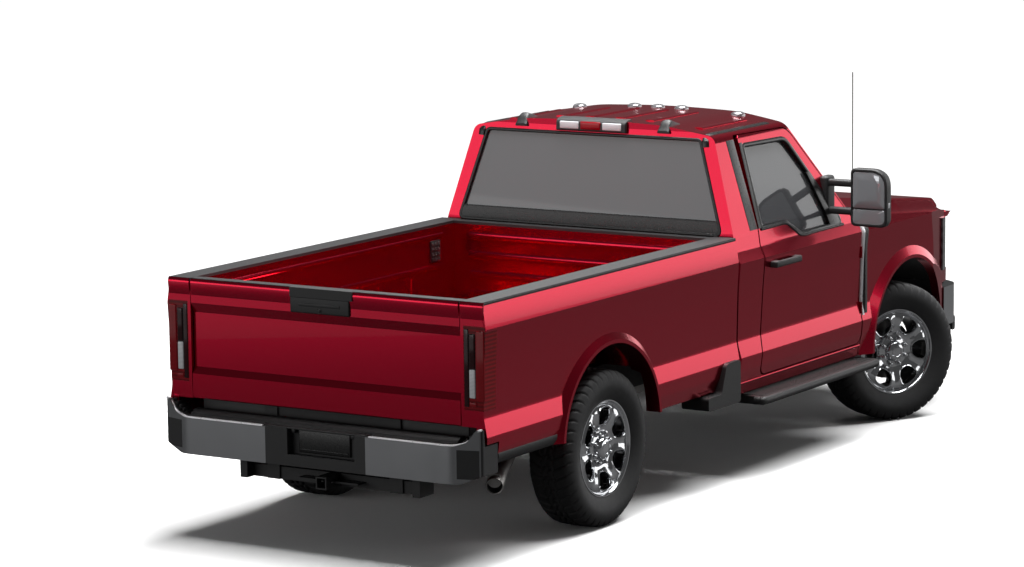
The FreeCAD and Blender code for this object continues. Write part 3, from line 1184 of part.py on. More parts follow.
def build_exhaust():
    """Muffler inside the right rail, then a pipe over the axle to a tip behind the rear wheel."""
    y = -rail_inner + 110
    z = s.rail_low_z
    rear = rear_axle_x
    bend = s.pipe_radius * 2
    down = s.firewall_x + 150
    head = pipe("head_pipe", s.pipe_radius, [
        (down, y, s.rail_front_z + 40 - s.play), (down, y, z), (s.door_rear_x + 170, y, z)], bend)
    muffler = box("muffler", s.door_rear_x - 700, s.door_rear_x + 180, y - 90, y + 90, z - 80, z + 90)
    tail = pipe("tail_pipe", s.pipe_radius, [
        (s.door_rear_x - 690, y, z - 30), (rear + 640, y, z - 40), (rear + 420, -s.spring_half - 106, z - 30),
        (rear + 250, -s.spring_half - 106, axle_z + 140), (rear - 260, -s.spring_half - 106, axle_z + 140),
        (rear - 520, -s.spring_half - 150, s.receiver_z + 40), (rear - 800, -bed_inner_half + 40, s.receiver_z),
        (rear - 1020, -bumper_half + 90, s.receiver_z),
    ], bend)
    node(fuse("exhaust_whole", head, muffler, tail), "exhaust")


def faceted_ring(label, stations):
    """A ring about the Y axis with flat facets, so that a tyre stays round with few faces."""
    turn = 2 * math.pi / TYRE_SIDES
    rings = [[FreeCAD.Vector(size(radius).value * math.cos(turn * step), size(y).value,
                             size(radius).value * math.sin(turn * step)) for step in range(TYRE_SIDES)]
             for radius, y in stations]
    faces = []
    for ring, beside in zip(rings, rings[1:] + rings[:1]):
        for step in range(TYRE_SIDES):
            corners = (ring[step - 1], ring[step], beside[step], beside[step - 1])
            faces.append(Part.Face(Part.makePolygon(corners + corners[:1])))
    shell = Part.Shell(faces)
    shell.sewShape()
    shape = add("Part::Feature", label)
    shape.Shape = Part.Solid(shell)
    return shape


def wheel_shapes():
    """A tyre and a rim about the Y axis, the outer face towards +Y."""
    half = s.tyre_width / 2
    tread = s.tyre_tread_width / 2
    seat_half = s.rim_width / 2 - 15.5
    bead = s.bead_radius + s.play
    shoulder = s.tyre_radius - s.tyre_shoulder
    stations = ((bead, -seat_half), (shoulder, -half), (s.tyre_radius, -tread), (s.tyre_radius, tread),
                (shoulder, half), (bead, seat_half))
    tyre = faceted_ring("tyre_body", stations)
    lip = s.rim_width / 2
    face = s.rim_offset
    rim = revolve("rim_turned", [
        (s.centre_bore, face), (96, face), (96, face + 2), (s.bead_radius - 24, face + 34),
        (s.bead_radius - 24, -lip), (s.rim_lip_radius, -lip),
        (s.rim_lip_radius, -lip + 10), (s.bead_radius, -lip + 10), (s.bead_radius, lip - 10),
        (s.rim_lip_radius, lip - 10), (s.rim_lip_radius, lip), (s.bead_radius - 10, lip),
        (s.bead_radius - 30, face + 62), (104, face + s.disc_thick + 6), (s.cap_radius, face + s.disc_thick + 6),
        (s.cap_radius, face + s.disc_thick + 34, 10), (0, face + s.disc_thick + 44), (0, face + s.disc_thick + 10),
        (s.centre_bore, face + s.disc_thick + 10),
    ])
    windows = []
    for index in range(6):
        window = prism("window_%d" % index, "XZ", [
            (s.window_inner, -26, 14), (s.window_inner, 26, 14), (s.window_outer - 26, 70, 22),
            (s.window_outer, 44, 22), (s.window_outer, -44, 22), (s.window_outer - 26, -70, 22),
        ], face - 20, lip + 20)
        turned = group("window_turned_%d" % index, window)
        turned.Placement = FreeCAD.Placement(FreeCAD.Vector(), FreeCAD.Rotation(Y_AXIS, index * 60))
        windows.append(turned)
    return tyre, cut("rim_cut", rim, *windows)


def build_wheels():
    steer = -s.steer_rest
    out = s.front_track_half - s.kingpin_half
    tyre, rim = wheel_shapes()
    for side, label, angle in ((1, "left", 0), (-1, "right", 180)):
        for end in ("front", "rear"):
            for kind, shape in (("tyre", tyre), ("rim", rim)):
                name = "%s_%s_%s" % (kind, end, label)
                holder = group(name + "_placed", shape)
                if end == "front":
                    holder.Placement = FreeCAD.Placement(FreeCAD.Vector(), FreeCAD.Rotation(Z_AXIS, 1))
                    bind(holder, "Placement.Rotation.Angle", steer + angle)
                    place(holder, s.front_axle_x + sine(s.steer_rest) * out * side,
                          (s.kingpin_half + cosine(s.steer_rest) * out) * side, axle_z)
                else:
                    holder.Placement = FreeCAD.Placement(FreeCAD.Vector(), FreeCAD.Rotation(Z_AXIS, angle))
                    place(holder, rear_axle_x, s.rear_track_half * side, axle_z)
                node(holder, name)
        knuckle = knuckle_shape(side, label)
        holder = group("knuckle_%s_placed" % label, knuckle)
        holder.Placement = FreeCAD.Placement(FreeCAD.Vector(), FreeCAD.Rotation(Z_AXIS, 1))
        bind(holder, "Placement.Rotation.Angle", steer)
        place(holder, s.front_axle_x, s.kingpin_half * side, axle_z)
        node(holder, "knuckle_" + label)
    spare = group("spare_placed", tyre, rim)
    spare.Placement = FreeCAD.Placement(FreeCAD.Vector(), FreeCAD.Rotation(X_AXIS, -90))
    place(spare, s.spare_x, 0, s.spare_z)
    node(spare, "spare_wheel")
    tie = cylinder("tie_bar", "Y", s.tie_rod_radius, -s.kingpin_half, s.kingpin_half * 2, (0, 0))
    ends = [cylinder("tie_end", "Z", 22, -24, 48, (0, y)) for y in (-s.kingpin_half, s.kingpin_half)]
    rod = group("tie_rod_placed", fuse("tie_rod_whole", tie, *ends))
    place(rod, s.front_axle_x + cosine(s.steer_rest) * s.steer_arm, -sine(s.steer_rest) * s.steer_arm,
          axle_z + s.tie_rod_drop)
    node(rod, "tie_rod")


def knuckle_shape(side, label):
    """Knuckle about its own steering axis: post, hub with pilot, and the arm to the tie rod."""
    seat = s.front_track_half + s.rim_offset - s.kingpin_half
    post = cylinder("post_" + label, "Z", 40, -107.6, 215.2, (0, 0))
    hub = cylinder("hub_" + label, "Y", 84, 44, seat - 44 - s.pilot_play, (0, 0))
    stub = cylinder("stub_" + label, "Y", 52, 0, 60, (0, 0))
    pilot = cylinder("pilot_" + label, "Y", s.centre_bore - s.pilot_play, seat - 10, 32, (0, 0))
    low = s.tie_rod_drop - 48
    arm = box("steer_arm_" + label, 20, s.steer_arm + 24, -s.steer_arm_width / 2, s.steer_arm_width / 2,
              low, low + 23.5)
    left = fuse("knuckle_body_" + label, post, stub, hub, pilot, arm)
    return left if side == 1 else mirrored("knuckle_mirrored", left)


def build_small(outer, fender):
    lamps = []
    for index, y in enumerate((-540, -160, 0, 160, 540)):
        lamp = prism("roof_lamp_block_%d" % index, "XZ", [
            (596, s.roof_z - 40), (600, s.roof_z + 10, 8), (630, s.roof_z + 17, 20), (676, s.roof_z - 4, 20),
            (676, s.roof_z - 40)], y - 42, y + 42)
        lamps.append(cut("roof_lamp_%d" % index, lamp, outer))
    node(group("roof_lamps_all", *lamps), "roof_lamps")
    roof_rear = s.cab_back_x + s.cab_back_lean
    lamp = prism("cargo_lamp_block", "XZ", [
        (roof_rear - 26, s.roof_z - 72, 8), (roof_rear - 22, s.roof_z - 6, 30), (roof_rear + 66, s.roof_z + 9, 20),
        (roof_rear + 66, s.roof_z - 72)], -s.cargo_lamp_half, s.cargo_lamp_half)
    node(cut("cargo_lamp_seated", lamp, outer), "cargo_lamp")
    wedge = prism("roof_wedge_block", "XZ", [
        (roof_rear - 18, s.roof_z - 50), (roof_rear - 14, s.roof_z + 4, 12), (roof_rear + 20, s.roof_z + 18, 20),
        (roof_rear + 120, s.roof_z + 2, 30), (roof_rear + 120, s.roof_z - 50)], s.wedge_y - 36, s.wedge_y + 36)
    node(both("cab_trim_all", cut("roof_wedge", wedge, outer)), "cab_trim")
    foot = cylinder("aerial_foot", "Z", 16, s.cowl_z - 52, 42, (s.aerial_x, aerial_half))
    mast = cylinder("aerial_mast", "Z", 3, s.cowl_z - 12, s.aerial_top_z - s.cowl_z + 12,
                    (s.aerial_x, aerial_half))
    whole = cut("aerial_left", fuse("aerial_whole", foot, mast), fender)
    node(mirrored("aerial_right", whole), "aerial")


outer, inner = build_cab()
build_doors(outer, inner)
bedside = build_bed()
build_tailgate()
fender = build_front()
build_frame()
front_axle, rear_axle = build_axles()
build_suspension(rear_axle)
build_drive(front_axle, rear_axle)
build_interior()
build_rear(bedside)
build_wheels()
build_exhaust()
build_small(outer, fender)
doc.recompute()

for item in doc.Objects:
    if "Invalid" in item.State or "Error" in item.State:
        raise RuntimeError("%s failed: %s" % (item.Label, item.State))
for item in nodes:
    if item.Shape.isNull() or not item.Shape.isValid():
        raise RuntimeError("%s has no valid shape" % item.Label)

os.makedirs("parts", exist_ok=True)
for item in nodes:
    item.Shape.exportStep("parts/%s.step" % item.Label)
    print("%-18s solids %d" % (item.Label, len(item.Shape.Solids)))
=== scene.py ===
import json
import math

import bmesh
import bpy
import numpy as np
from bpy.props import FloatProperty, FloatVectorProperty, IntProperty, PointerProperty
from mathutils import Matrix, Vector


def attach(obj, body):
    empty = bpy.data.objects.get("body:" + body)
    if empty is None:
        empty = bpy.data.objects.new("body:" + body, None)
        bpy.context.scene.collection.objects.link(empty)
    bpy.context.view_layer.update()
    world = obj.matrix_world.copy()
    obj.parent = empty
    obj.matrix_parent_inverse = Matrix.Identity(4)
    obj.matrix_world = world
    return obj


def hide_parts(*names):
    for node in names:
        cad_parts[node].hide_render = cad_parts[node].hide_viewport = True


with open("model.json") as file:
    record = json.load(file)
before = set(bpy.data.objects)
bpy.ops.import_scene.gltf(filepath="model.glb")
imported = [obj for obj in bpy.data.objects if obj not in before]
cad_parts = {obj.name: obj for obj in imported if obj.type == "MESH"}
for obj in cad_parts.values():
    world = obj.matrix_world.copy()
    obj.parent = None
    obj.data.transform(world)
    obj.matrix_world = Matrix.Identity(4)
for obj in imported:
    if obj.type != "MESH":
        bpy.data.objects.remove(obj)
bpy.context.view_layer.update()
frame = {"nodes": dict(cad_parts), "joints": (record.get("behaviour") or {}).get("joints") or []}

bl_info = {
    "name": "Pickup truck looks",
    "version": (1, 0, 0),
    "blender": (4, 2, 0),
    "location": "View3D > Sidebar > Pickup",
    "description": "Dresses the solid model of a pickup truck with treaded tyres, rims, lamps, trim and paint",
    "category": "Object",
}

# Metres. +X points forward, +Y to the left, +Z up.
JOINTS = {joint["name"]: joint for joint in frame["joints"]}


# ---- shaders


class Value:
    """A shader socket that takes part in arithmetic by adding Math nodes to its tree."""

    def __init__(self, finish, socket):
        self.finish = finish
        self.socket = socket

    def maths(self, operation, *terms):
        inputs = dict(enumerate(terms))
        return self.finish.node("ShaderNodeMath", {"operation": operation}, inputs)

    def __add__(self, other):
        return self.maths("ADD", self, other)

    def __sub__(self, other):
        return self.maths("SUBTRACT", self, other)

    def __rsub__(self, other):
        return self.maths("SUBTRACT", other, self)

    def __mul__(self, other):
        return self.maths("MULTIPLY", self, other)

    def above(self, limit):
        return self.maths("GREATER_THAN", self, limit)

    def below(self, limit):
        return self.maths("LESS_THAN", self, limit)

    def sine(self):
        return self.maths("SINE", self)

    def size(self):
        return self.maths("ABSOLUTE", self)

    def either(self, other):
        return self.maths("MAXIMUM", self, other)

    def within(self, middle, half):
        """1 where the value lies within half of the middle."""
        return (self - middle).size().below(half)

    def raised(self):
        """A value from -1 to 1 moved to the span from 0 to 1."""
        return self * 0.5 + 0.5


class Finish:
    """A procedural material with one Principled shader. Plain values sit on the shader's own sockets."""

    def __init__(self, name, colour, **sockets):
        self.material = bpy.data.materials.new(name)
        self.material.use_nodes = True
        self.tree = self.material.node_tree
        self.tree.nodes.clear()
        self.output = self.tree.nodes.new("ShaderNodeOutputMaterial")
        self.shader = self.tree.nodes.new("ShaderNodeBsdfPrincipled")
        self.tree.links.new(self.shader.outputs[0], self.output.inputs["Surface"])
        self.put("Base Color", colour)
        for socket, value in sockets.items():
            self.put(socket.replace("_", " "), value)

    def put(self, socket, value):
        self.feed(self.shader.inputs[socket], value)
        return self

    def feed(self, socket, value):
        if isinstance(value, Value):
            self.tree.links.new(value.socket, socket)
        elif socket.type == "RGBA" and len(value) == 3:
            socket.default_value = (*value, 1)
        else:
            socket.default_value = value

    def node(self, kind, settings=None, inputs=None, output=0):
        made = self.tree.nodes.new(kind)
        for name, value in (settings or {}).items():
            setattr(made, name, value)
        for name, value in (inputs or {}).items():
            self.feed(made.inputs[name], value)
        return Value(self, made.outputs[output])

    def place(self):
        return self.node("ShaderNodeTexCoord", output="Object")

    def axes(self):
        """The place along X, Y and Z, each as a value."""
        parts = self.node("ShaderNodeSeparateXYZ", inputs={0: self.place()}).socket.node
        return [Value(self, socket) for socket in parts.outputs]

    def noise(self, scale, detail=2.0, stretch=(1, 1, 1)):
        spot = self.node("ShaderNodeVectorMath", {"operation": "MULTIPLY"}, {0: self.place(), 1: stretch})
        return self.node("ShaderNodeTexNoise", inputs={"Vector": spot, "Scale": scale, "Detail": detail})

    def mix(self, factor, low, high):
        made = self.tree.nodes.new("ShaderNodeMix")
        made.data_type = "RGBA"
        for socket, value in ((made.inputs[0], factor), (made.inputs[6], low), (made.inputs[7], high)):
            self.feed(socket, value)
        return Value(self, made.outputs[2])

    def scaled(self, value, low, high):
        """A value from 0 to 1 moved to the span from low to high."""
        return value * (high - low) + low

    def bump(self, height, distance, strength=1.0):
        normal = self.node("ShaderNodeBump", inputs={"Height": height, "Distance": distance, "Strength": strength})
        return self.put("Normal", normal)

    def rough(self, value, low, high):
        return self.put("Roughness", self.scaled(value, low, high))


# Key, name, colour, sockets, roughness as (noise scale, detail, low, high), and bump as (noise scale, detail,
# distance, strength).
PLAIN_FINISHES = (
    ("plastic", "black plastic", (0.012, 0.012, 0.0126), {}, (90, 2, 0.44, 0.58), (900, 2, 0.0004, 0.5)),
    ("trim", "black trim", (0.006, 0.006, 0.0063), {}, (140, 2, 0.22, 0.36), (1400, 2, 0.0004, 0.5)),
    ("coating", "black coating", (0.014, 0.014, 0.0147), {}, (30, 2, 0.49, 0.63), (300, 2, 0.0004, 0.5)),
    ("chrome", "bright chrome", (0.62, 0.63, 0.65), {"Metallic": 1}, (6, 2, 0.07, 0.15), None),
    ("bare", "bare metal", (0.3, 0.29, 0.28), {"Metallic": 1}, (40, 4, 0.35, 0.55), (220, 2, 0.0006, 0.4)),
    ("iron", "cast iron", (0.035, 0.034, 0.033), {"Metallic": 0.6}, (60, 4, 0.5, 0.75), (380, 3, 0.0012, 0.6)),
    ("tyre", "tyre rubber", (0.02, 0.02, 0.021), {}, (30, 3, 0.58, 0.78), (700, 2, 0.0005, 0.4)),
    ("vinyl", "moulded vinyl", (0.022, 0.022, 0.024), {}, (420, 3, 0.48, 0.66), (420, 3, 0.0006, 0.6)),
    ("dome", "lamp dome", (0.2, 0.2, 0.21), {"Metallic": 0.55, "Coat_Weight": 1}, (80, 2, 0.12, 0.22), None),
    ("bright", "bright strip", (0.8, 0.8, 0.82), {"Metallic": 0.3}, (50, 2, 0.25, 0.32), None),
    ("silver", "mirror glass", (0.42, 0.43, 0.45), {"Metallic": 0.6}, (3, 2, 0.02, 0.05), None),
)
LENSES = (("red lens", (0.3, 0.002, 0.008), 0.03), ("clear lens", (0.62, 0.63, 0.65), 0.1),
          ("amber lens", (0.72, 0.22, 0.02), 0.05), ("smoked lens", (0.035, 0.002, 0.004), 0.0))


def make_finishes(settings):
    """Every material, by its short name."""
    made = {}

    deep = [channel * 0.72 for channel in settings.paint]
    paint = Finish("body paint", settings.paint, Metallic=0.95, Roughness=0.19, Coat_Weight=0.22,
                   Coat_Roughness=0.02)
    flakes = paint.noise(settings.flake_scale, 1.0)
    paint.put("Base Color", paint.mix(flakes, deep, settings.paint))
    made["paint"] = paint

    for key, name, colour, sockets, rough, bump in PLAIN_FINISHES:
        plain = Finish(name, colour, **sockets)
        plain.rough(plain.noise(*rough[:2]), *rough[2:])
        if bump:
            plain.bump(plain.noise(*bump[:2]), *bump[2:])
        made[key] = plain

    glass = Finish("window glass", settings.tint, Roughness=0.03, Coat_Weight=0.4)
    behind = glass.axes()[0].below(0)
    glass.put("Alpha", glass.scaled(behind, settings.front_tint, settings.rear_tint))
    made["glass"] = glass

    cloth = Finish("seat cloth", (0.045, 0.045, 0.05), Sheen_Weight=0.2)
    x, y, z = cloth.axes()
    weave = ((x * 2600).sine() * (y * 2600).sine()).raised()
    cloth.put("Base Color", cloth.mix(weave, (0.03, 0.03, 0.032), (0.042, 0.042, 0.045)))
    cloth.rough(cloth.noise(90), 0.8, 0.95)
    cloth.bump(weave, 0.0006, 0.5)
    made["cloth"] = cloth

    for name, colour, glow in LENSES:
        lens = Finish(name, colour, Roughness=0.12, Specular_IOR_Level=0.35)
        flutes = (lens.axes()[2] * 900).sine().raised()
        dark = [channel * 0.55 for channel in colour]
        lens.put("Base Color", lens.mix(flutes, dark, colour))
        lens.put("Emission Color", (*colour, 1))
        lens.put("Emission Strength", glow)
        made[name.split()[0]] = lens

    lamp = Finish("tail lamp", (0.2, 0.0, 0.005), Roughness=0.16, Specular_IOR_Level=0.25)
    _, y, z = lamp.axes()
    rows = (z * 300).sine().raised()
    reds = lamp.mix(rows, (0.13, 0.0, 0.003), (0.26, 0.001, 0.006))
    clear_zone = y.size().within(0.919, 0.02) * z.within(1.058, 0.165)
    lamp.put("Base Color", lamp.mix(clear_zone, reds, (0.03, 0.03, 0.032)))
    made["lamp"] = lamp

    bumper = Finish("bumper with black centre", (0.2, 0.2, 0.2))
    x, y, z = bumper.axes()
    wide = y.size()
    pocket = wide.within(0.925, 0.058) * z.within(0.56, 0.075) * x.below(-2.8)
    black_zone = wide.below(settings.bumper_centre).either(pocket).either(wide.above(0.9905))
    bumper.put("Base Color", bumper.mix(black_zone, (0.26, 0.265, 0.275), (0.014, 0.014, 0.015)))
    bumper.put("Metallic", 1 - black_zone)
    bumper.put("Roughness", bumper.scaled(bumper.noise(9.0), 0.3, 0.38) + black_zone * 0.2)
    bumper.bump(bumper.noise(900.0) * black_zone, 0.0004, 0.5)
    made["bumper"] = bumper

    vent = Finish("vent mesh", (0.01, 0.01, 0.01))
    x, y, z = vent.axes()
    holes = (((x + z) * 620).sine() * ((x - z) * 620).sine()).raised()
    # Where the pattern sinks, at the mesh's openings, the colour is near-black: painted shade inside the holes.
    vent.put("Base Color", vent.mix(holes, (0.002, 0.002, 0.002), (0.05, 0.05, 0.05)))
    vent.rough(holes, 0.35, 0.7)
    vent.bump(holes, 0.002, 0.8)
    made["vent"] = vent

    head = Finish("headlamp", (0.06, 0.06, 0.065), Roughness=0.05, Coat_Weight=1.0, Coat_Roughness=0.02)
    bands = (head.axes()[2] * 90).sine().raised()
    head.put("Base Color", head.mix(bands, (0.03, 0.03, 0.033), (0.09, 0.09, 0.095)))
    made["head"] = head

    floor = Finish("studio floor", (0.9, 0.9, 0.9), Roughness=0.9)
    seen = floor.node("ShaderNodeLightPath", output="Is Camera Ray")
    dim = (settings.floor_bounce,) * 3
    floor.put("Base Color", floor.mix(seen, dim, (0.93, 0.93, 0.93)))
    made["floor"] = floor
    return made


# ---- surfaces


def smooth_step(low, high, value):
    """0 below low, 1 above high, and the cubic 3t squared less 2t cubed between."""
    t = np.clip((value - low) / (high - low), 0, 1)
    return t * t * (3 - 2 * t)


def xyz(x, y, z):
    """Points from three coordinates, each a number or an array, spread over one another."""
    return np.stack(np.broadcast_arrays(x, y, z), axis=-1)


def capped(rows):
    """Rows of points with one more at each end, gathered at the end row's middle."""
    first, last = (np.broadcast_to(row.mean(axis=0), (1, *row.shape)) for row in (rows[0], rows[-1]))
    return np.concatenate([first, rows, last])


def rounded_box(low, high, radius, steps=3):
    """The box's corner centres pushed out by the radius times a unit normal that runs over the sphere, by latitude
    and longitude; both caps close at their centres."""
    low, high = np.array(low, float), np.array(high, float)
    middle, half = (low + high) / 2, (high - low) / 2
    radius = min(radius, *(half * 0.98))
    quarter = np.linspace(0, math.pi / 2, steps + 1)
    latitude = np.concatenate([quarter - math.pi / 2, quarter])
    longitude = np.concatenate([quarter + turn * math.pi / 2 for turn in range(4)])
    sign_z = np.repeat([-1.0, 1.0], steps + 1)
    corner = np.repeat(np.arange(4), steps + 1)
    sign_x = np.array([1.0, -1.0, -1.0, 1.0])[corner]
    sign_y = np.array([1.0, 1.0, -1.0, -1.0])[corner]
    flat = np.cos(latitude)[:, None]
    normal = xyz(flat * np.cos(longitude), flat * np.sin(longitude), np.sin(latitude)[:, None])
    signs = xyz(sign_x, sign_y, sign_z[:, None])
    return capped(middle + signs * (half - radius) + radius * normal)


def tube(path, radius, sides=12):
    """Circles of the given radius about each point of a path, square to the path's direction there; both ends close
    at the path's end points."""
    path = np.array(path, float)
    along = np.gradient(path, axis=0)
    along /= np.linalg.norm(along, axis=1, keepdims=True)
    guide = np.array([0.0, 0.0, 1.0]) if abs(along[:, 2]).max() < 0.9 else np.array([0.31, 0.95, 0.0])
    across = np.cross(along, guide)
    across /= np.linalg.norm(across, axis=1, keepdims=True)
    up = np.cross(across, along)
    turn = circle(sides)
    radius = np.broadcast_to(radius, (len(path),))[:, None, None]
    rings = path[:, None] + radius * (np.cos(turn)[None, :, None] * across[:, None]
                                      + np.sin(turn)[None, :, None] * up[:, None])
    return capped(rings)


def lathe(profile, turns):
    """A profile of radius and along-axis pairs swept by the given angles about the Y axis."""
    radius, along = np.array(profile, float).T
    return xyz(radius[:, None] * np.cos(turns), along[:, None], radius[:, None] * np.sin(turns))


def drawn(x, ring):
    """A closed section of (y, z) pairs drawn along X."""
    return capped(xyz(x[:, None], *np.array(ring, float).T))


def circle(count):
    """Angles of one turn in even steps, without the last."""
    return np.linspace(0, 2 * math.pi, count, endpoint=False)


def curve(points, count):
    """A smooth line through points: each coordinate is a Catmull-Rom spline of the point's number."""
    points = np.array(points, float)
    padded = np.concatenate([2 * points[:1] - points[1:2], points, 2 * points[-1:] - points[-2:-1]])
    place = np.linspace(0, len(points) - 1, count)
    index = np.minimum(place.astype(int), len(points) - 2)
    t = (place - index)[:, None]
    before, here, after, beyond = (padded[index + step] for step in range(4))
    return 0.5 * (2 * here + (after - before) * t + (2 * before - 5 * here + 4 * after - beyond) * t ** 2
                  + (3 * here - before - 3 * after + beyond) * t ** 3)


def strip(path, normal, section, closed=False):
    """A section of (across, up) pairs carried along a path: up is the given normal, across is square to it and to
    the path. An open strip closes at the middle of its end sections."""
    path = np.array(path, float)
    along = np.roll(path, -1, axis=0) - np.roll(path, 1, axis=0) if closed else np.gradient(path, axis=0)
    normal = np.broadcast_to(np.array(normal, float), path.shape)
    across = np.cross(along, normal)
    across /= np.linalg.norm(across, axis=1, keepdims=True)
    rings = path[:, None] + section[None, :, :1] * across[:, None] + section[None, :, 1:] * normal[:, None]
    return np.concatenate([rings, rings[:1]]) if closed else capped(rings)


def dome_section(width, height, sink):
    """Half an ellipse of the given width and height on straight sides that sink below the path."""
    turn = np.linspace(0, math.pi, 9)
    arc = np.stack([-np.cos(turn) * width / 2, np.sin(turn) * height], axis=-1)
    return np.concatenate([[(-width / 2, -sink)], arc, [(width / 2, -sink)]])


def rounded(corners, steps):
    """A closed outline whose corners are quadratic curves that start where an arc of the corner's radius would."""
    corners = np.array(corners, float)
    spots, radius = corners[:, :2], corners[:, 2:3]
    before, after = np.roll(spots, 1, axis=0) - spots, np.roll(spots, -1, axis=0) - spots
    before /= np.linalg.norm(before, axis=1, keepdims=True)
    after /= np.linalg.norm(after, axis=1, keepdims=True)
    half_angle = np.arccos(np.clip((before * after).sum(axis=1, keepdims=True), -1, 1)) / 2
    reach = radius / np.tan(half_angle)
    t = np.linspace(0, 1, steps)[None, :, None]
    start, end = spots + before * reach, spots + after * reach
    arcs = (1 - t) ** 2 * start[:, None] + 2 * t * (1 - t) * spots[:, None] + t ** 2 * end[:, None]
    return arcs.reshape(-1, 2)


WELD = 2e-5
TOO_SHORT = 1e-6
FINISHES = {}
# The record's material slot of each finish, unless a piece names another.
SLOTS = {
    "paint": "body_paint", "plastic": "black_plastic", "trim": "black_plastic", "vinyl": "black_plastic",
    "vent": "black_plastic", "chrome": "bright", "bright": "bright", "clear": "lamp", "smoked": "lamp", "red": "lamp",
    "amber": "lamp", "dome": "lamp", "silver": "lamp", "coating": "chassis_steel", "iron": "chassis_steel",
    "bare": "iron", "tyre": "tyre", "cloth": "fabric",
}


class Piece:
    """Gathers grids of points into one mesh that rides on a body of the frame."""

    def __init__(self, name, finish, body="chassis", slot=None, sharp=32):
        self.name, self.finish, self.body, self.sharp = name, finish, body, sharp
        self.slot = slot or SLOTS[finish]
        self.points, self.faces, self.count = [], [], 0

    def grid(self, points):
        """Joins rows and columns of points with four-sided faces; each row closes on itself."""
        rows, columns = points.shape[:2]
        number = self.count + np.arange(rows * columns).reshape(rows, columns)
        number = np.hstack([number, number[:, :1]])
        faces = np.stack([number[:-1, :-1], number[:-1, 1:], number[1:, 1:], number[1:, :-1]], axis=-1)
        self.points.append(points.reshape(-1, 3))
        self.faces.append(faces.reshape(-1, 4))
        self.count += rows * columns
        return self

    def box(self, low, high, radius=0.004, steps=3):
        return self.grid(rounded_box(low, high, radius, steps))

    def bead(self, path, normal, width, height, sink, closed=False):
        """A half-round strip along a path."""
        return self.grid(strip(path, normal, dome_section(width, height, sink), closed))

    def mirror(self):
        """Adds everything again on the other side of the centre plane."""
        points, faces = np.concatenate(self.points), np.concatenate(self.faces)
        self.points = [points, points * [1, -1, 1]]
        self.faces = [faces, faces[:, ::-1] + self.count]
        self.count *= 2
        return self

    def moved(self, change):
        """Takes all points through a function."""
        self.points = [change(np.concatenate(self.points))]
        return self

    def make(self, *replaced, side=1):
        """The finished object, on the left for side 1 and mirrored to the right for -1."""
        mesh = bpy.data.meshes.new(self.name)
        points = np.concatenate(self.points) * [1, side, 1]
        mesh.from_pydata(points.tolist(), [], np.concatenate(self.faces).tolist())
        work = bmesh.new()
        work.from_mesh(mesh)
        bmesh.ops.remove_doubles(work, verts=work.verts, dist=WELD)
        bmesh.ops.dissolve_degenerate(work, edges=work.edges, dist=TOO_SHORT)
        bmesh.ops.recalc_face_normals(work, faces=work.faces)
        work.to_mesh(mesh)
        work.free()
        mesh.polygons.foreach_set("use_smooth", [True] * len(mesh.polygons))
        mesh.set_sharp_from_angle(angle=math.radians(self.sharp))
        made = bpy.data.objects.new(self.name, mesh)
        bpy.context.scene.collection.objects.link(made)
        made.data.materials.append(FINISHES[self.finish].material)
        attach(made, self.body)
        if replaced:
            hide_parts(*replaced)
        return made


NODE_FINISHES = {
    "paint": ("cab_shell", "door_left", "door_right", "bedside_left", "bedside_right", "bed", "tailgate",
              "fender_left", "fender_right", "hood"),
    "glass": ("cab_glass", "door_glass_left", "door_glass_right"),
    "plastic": ("rail_caps", "tailgate_cap", "wheel_liners", "side_steps", "cargo_lamp", "cab_trim",
                "mirror_left", "mirror_right", "aerial", "grille"),
    "vinyl": ("dashboard", "steering_wheel"),
    "vent": ("fender_vents",),
    "coating": ("ladder_frame", "front_axle", "rear_axle", "suspension", "driveline", "knuckle_left",
                "knuckle_right", "tie_rod", "hitch", "fuel_tank", "radiator"),
    "iron": ("engine",),
    "bare": ("exhaust",),
    "chrome": ("front_bumper", "rim_front_left", "rim_front_right", "rim_rear_left", "rim_rear_right"),
    "bumper": ("rear_bumper",),
    "tyre": ("tyre_front_left", "tyre_front_right", "tyre_rear_left", "tyre_rear_right", "spare_wheel"),
    "cloth": ("seat",),
    "lamp": ("tail_lamps",),
    "head": ("headlamps",),
    "dome": ("roof_lamps",),
}


def dress_nodes():
    """Gives each solid part its finish."""
    for finish, names in NODE_FINISHES.items():
        for name in names:
            mesh = frame["nodes"][name].data
            mesh.materials.clear()
            mesh.materials.append(FINISHES[finish].material)


# ---- form of the body, read off the solid model

SKIN = np.array([(0.48, 0.965), (0.62, 0.999), (0.69, 1.005), (0.8, 0.985), (1.076, 0.993), (1.236, 1.002),
                 (1.302, 0.971), (1.395, 0.958), (1.938, 0.8)])
REAR_WALL = np.array([(1.385, -0.19), (1.959, -0.12)])
ROOF = np.array([(0.204, 1.9971), (0.418, 1.9898), (0.522, 1.9801), (0.762, 1.9438)])
DOOR_WINDOW = [(0.153, 1.401, 0.02), (0.443, 1.401, 0.12), (0.613, 1.311, 0.12), (1.133, 1.311, 0.03),
               (0.683, 1.856, 0.12), (0.175, 1.864, 0.02)]
REAR_WINDOW = [(-0.88, 1.389, 0.03), (0.88, 1.389, 0.03), (0.714, 1.918, 0.03), (-0.714, 1.918, 0.03)]
TAILGATE_X = -2.855
BED_WALL = 0.85
TAILGATE_HALF = 0.842
SCREEN_SLOPE = 640 / 659
FOG_LEAN = math.radians(30)
STEERING_LEAN = math.radians(25)
SIDES = (("left", 1), ("right", -1))
# Ribs of rubber mats and of the cowl panel.
RIB_PITCH = 0.024
RIB_RISE = 0.0022


def skin_half(z):
    """Half the body's width at a height, between the section's corners."""
    return np.interp(z, SKIN[:, 0], SKIN[:, 1])


def roof_top(y):
    """The roof's height at a place across: a shallow arc at the middle, then straight falls."""
    y = np.abs(y)
    return np.where(y < 0.204, 2.0005 - y * y / 12, np.interp(y, ROOF[:, 0], ROOF[:, 1]))


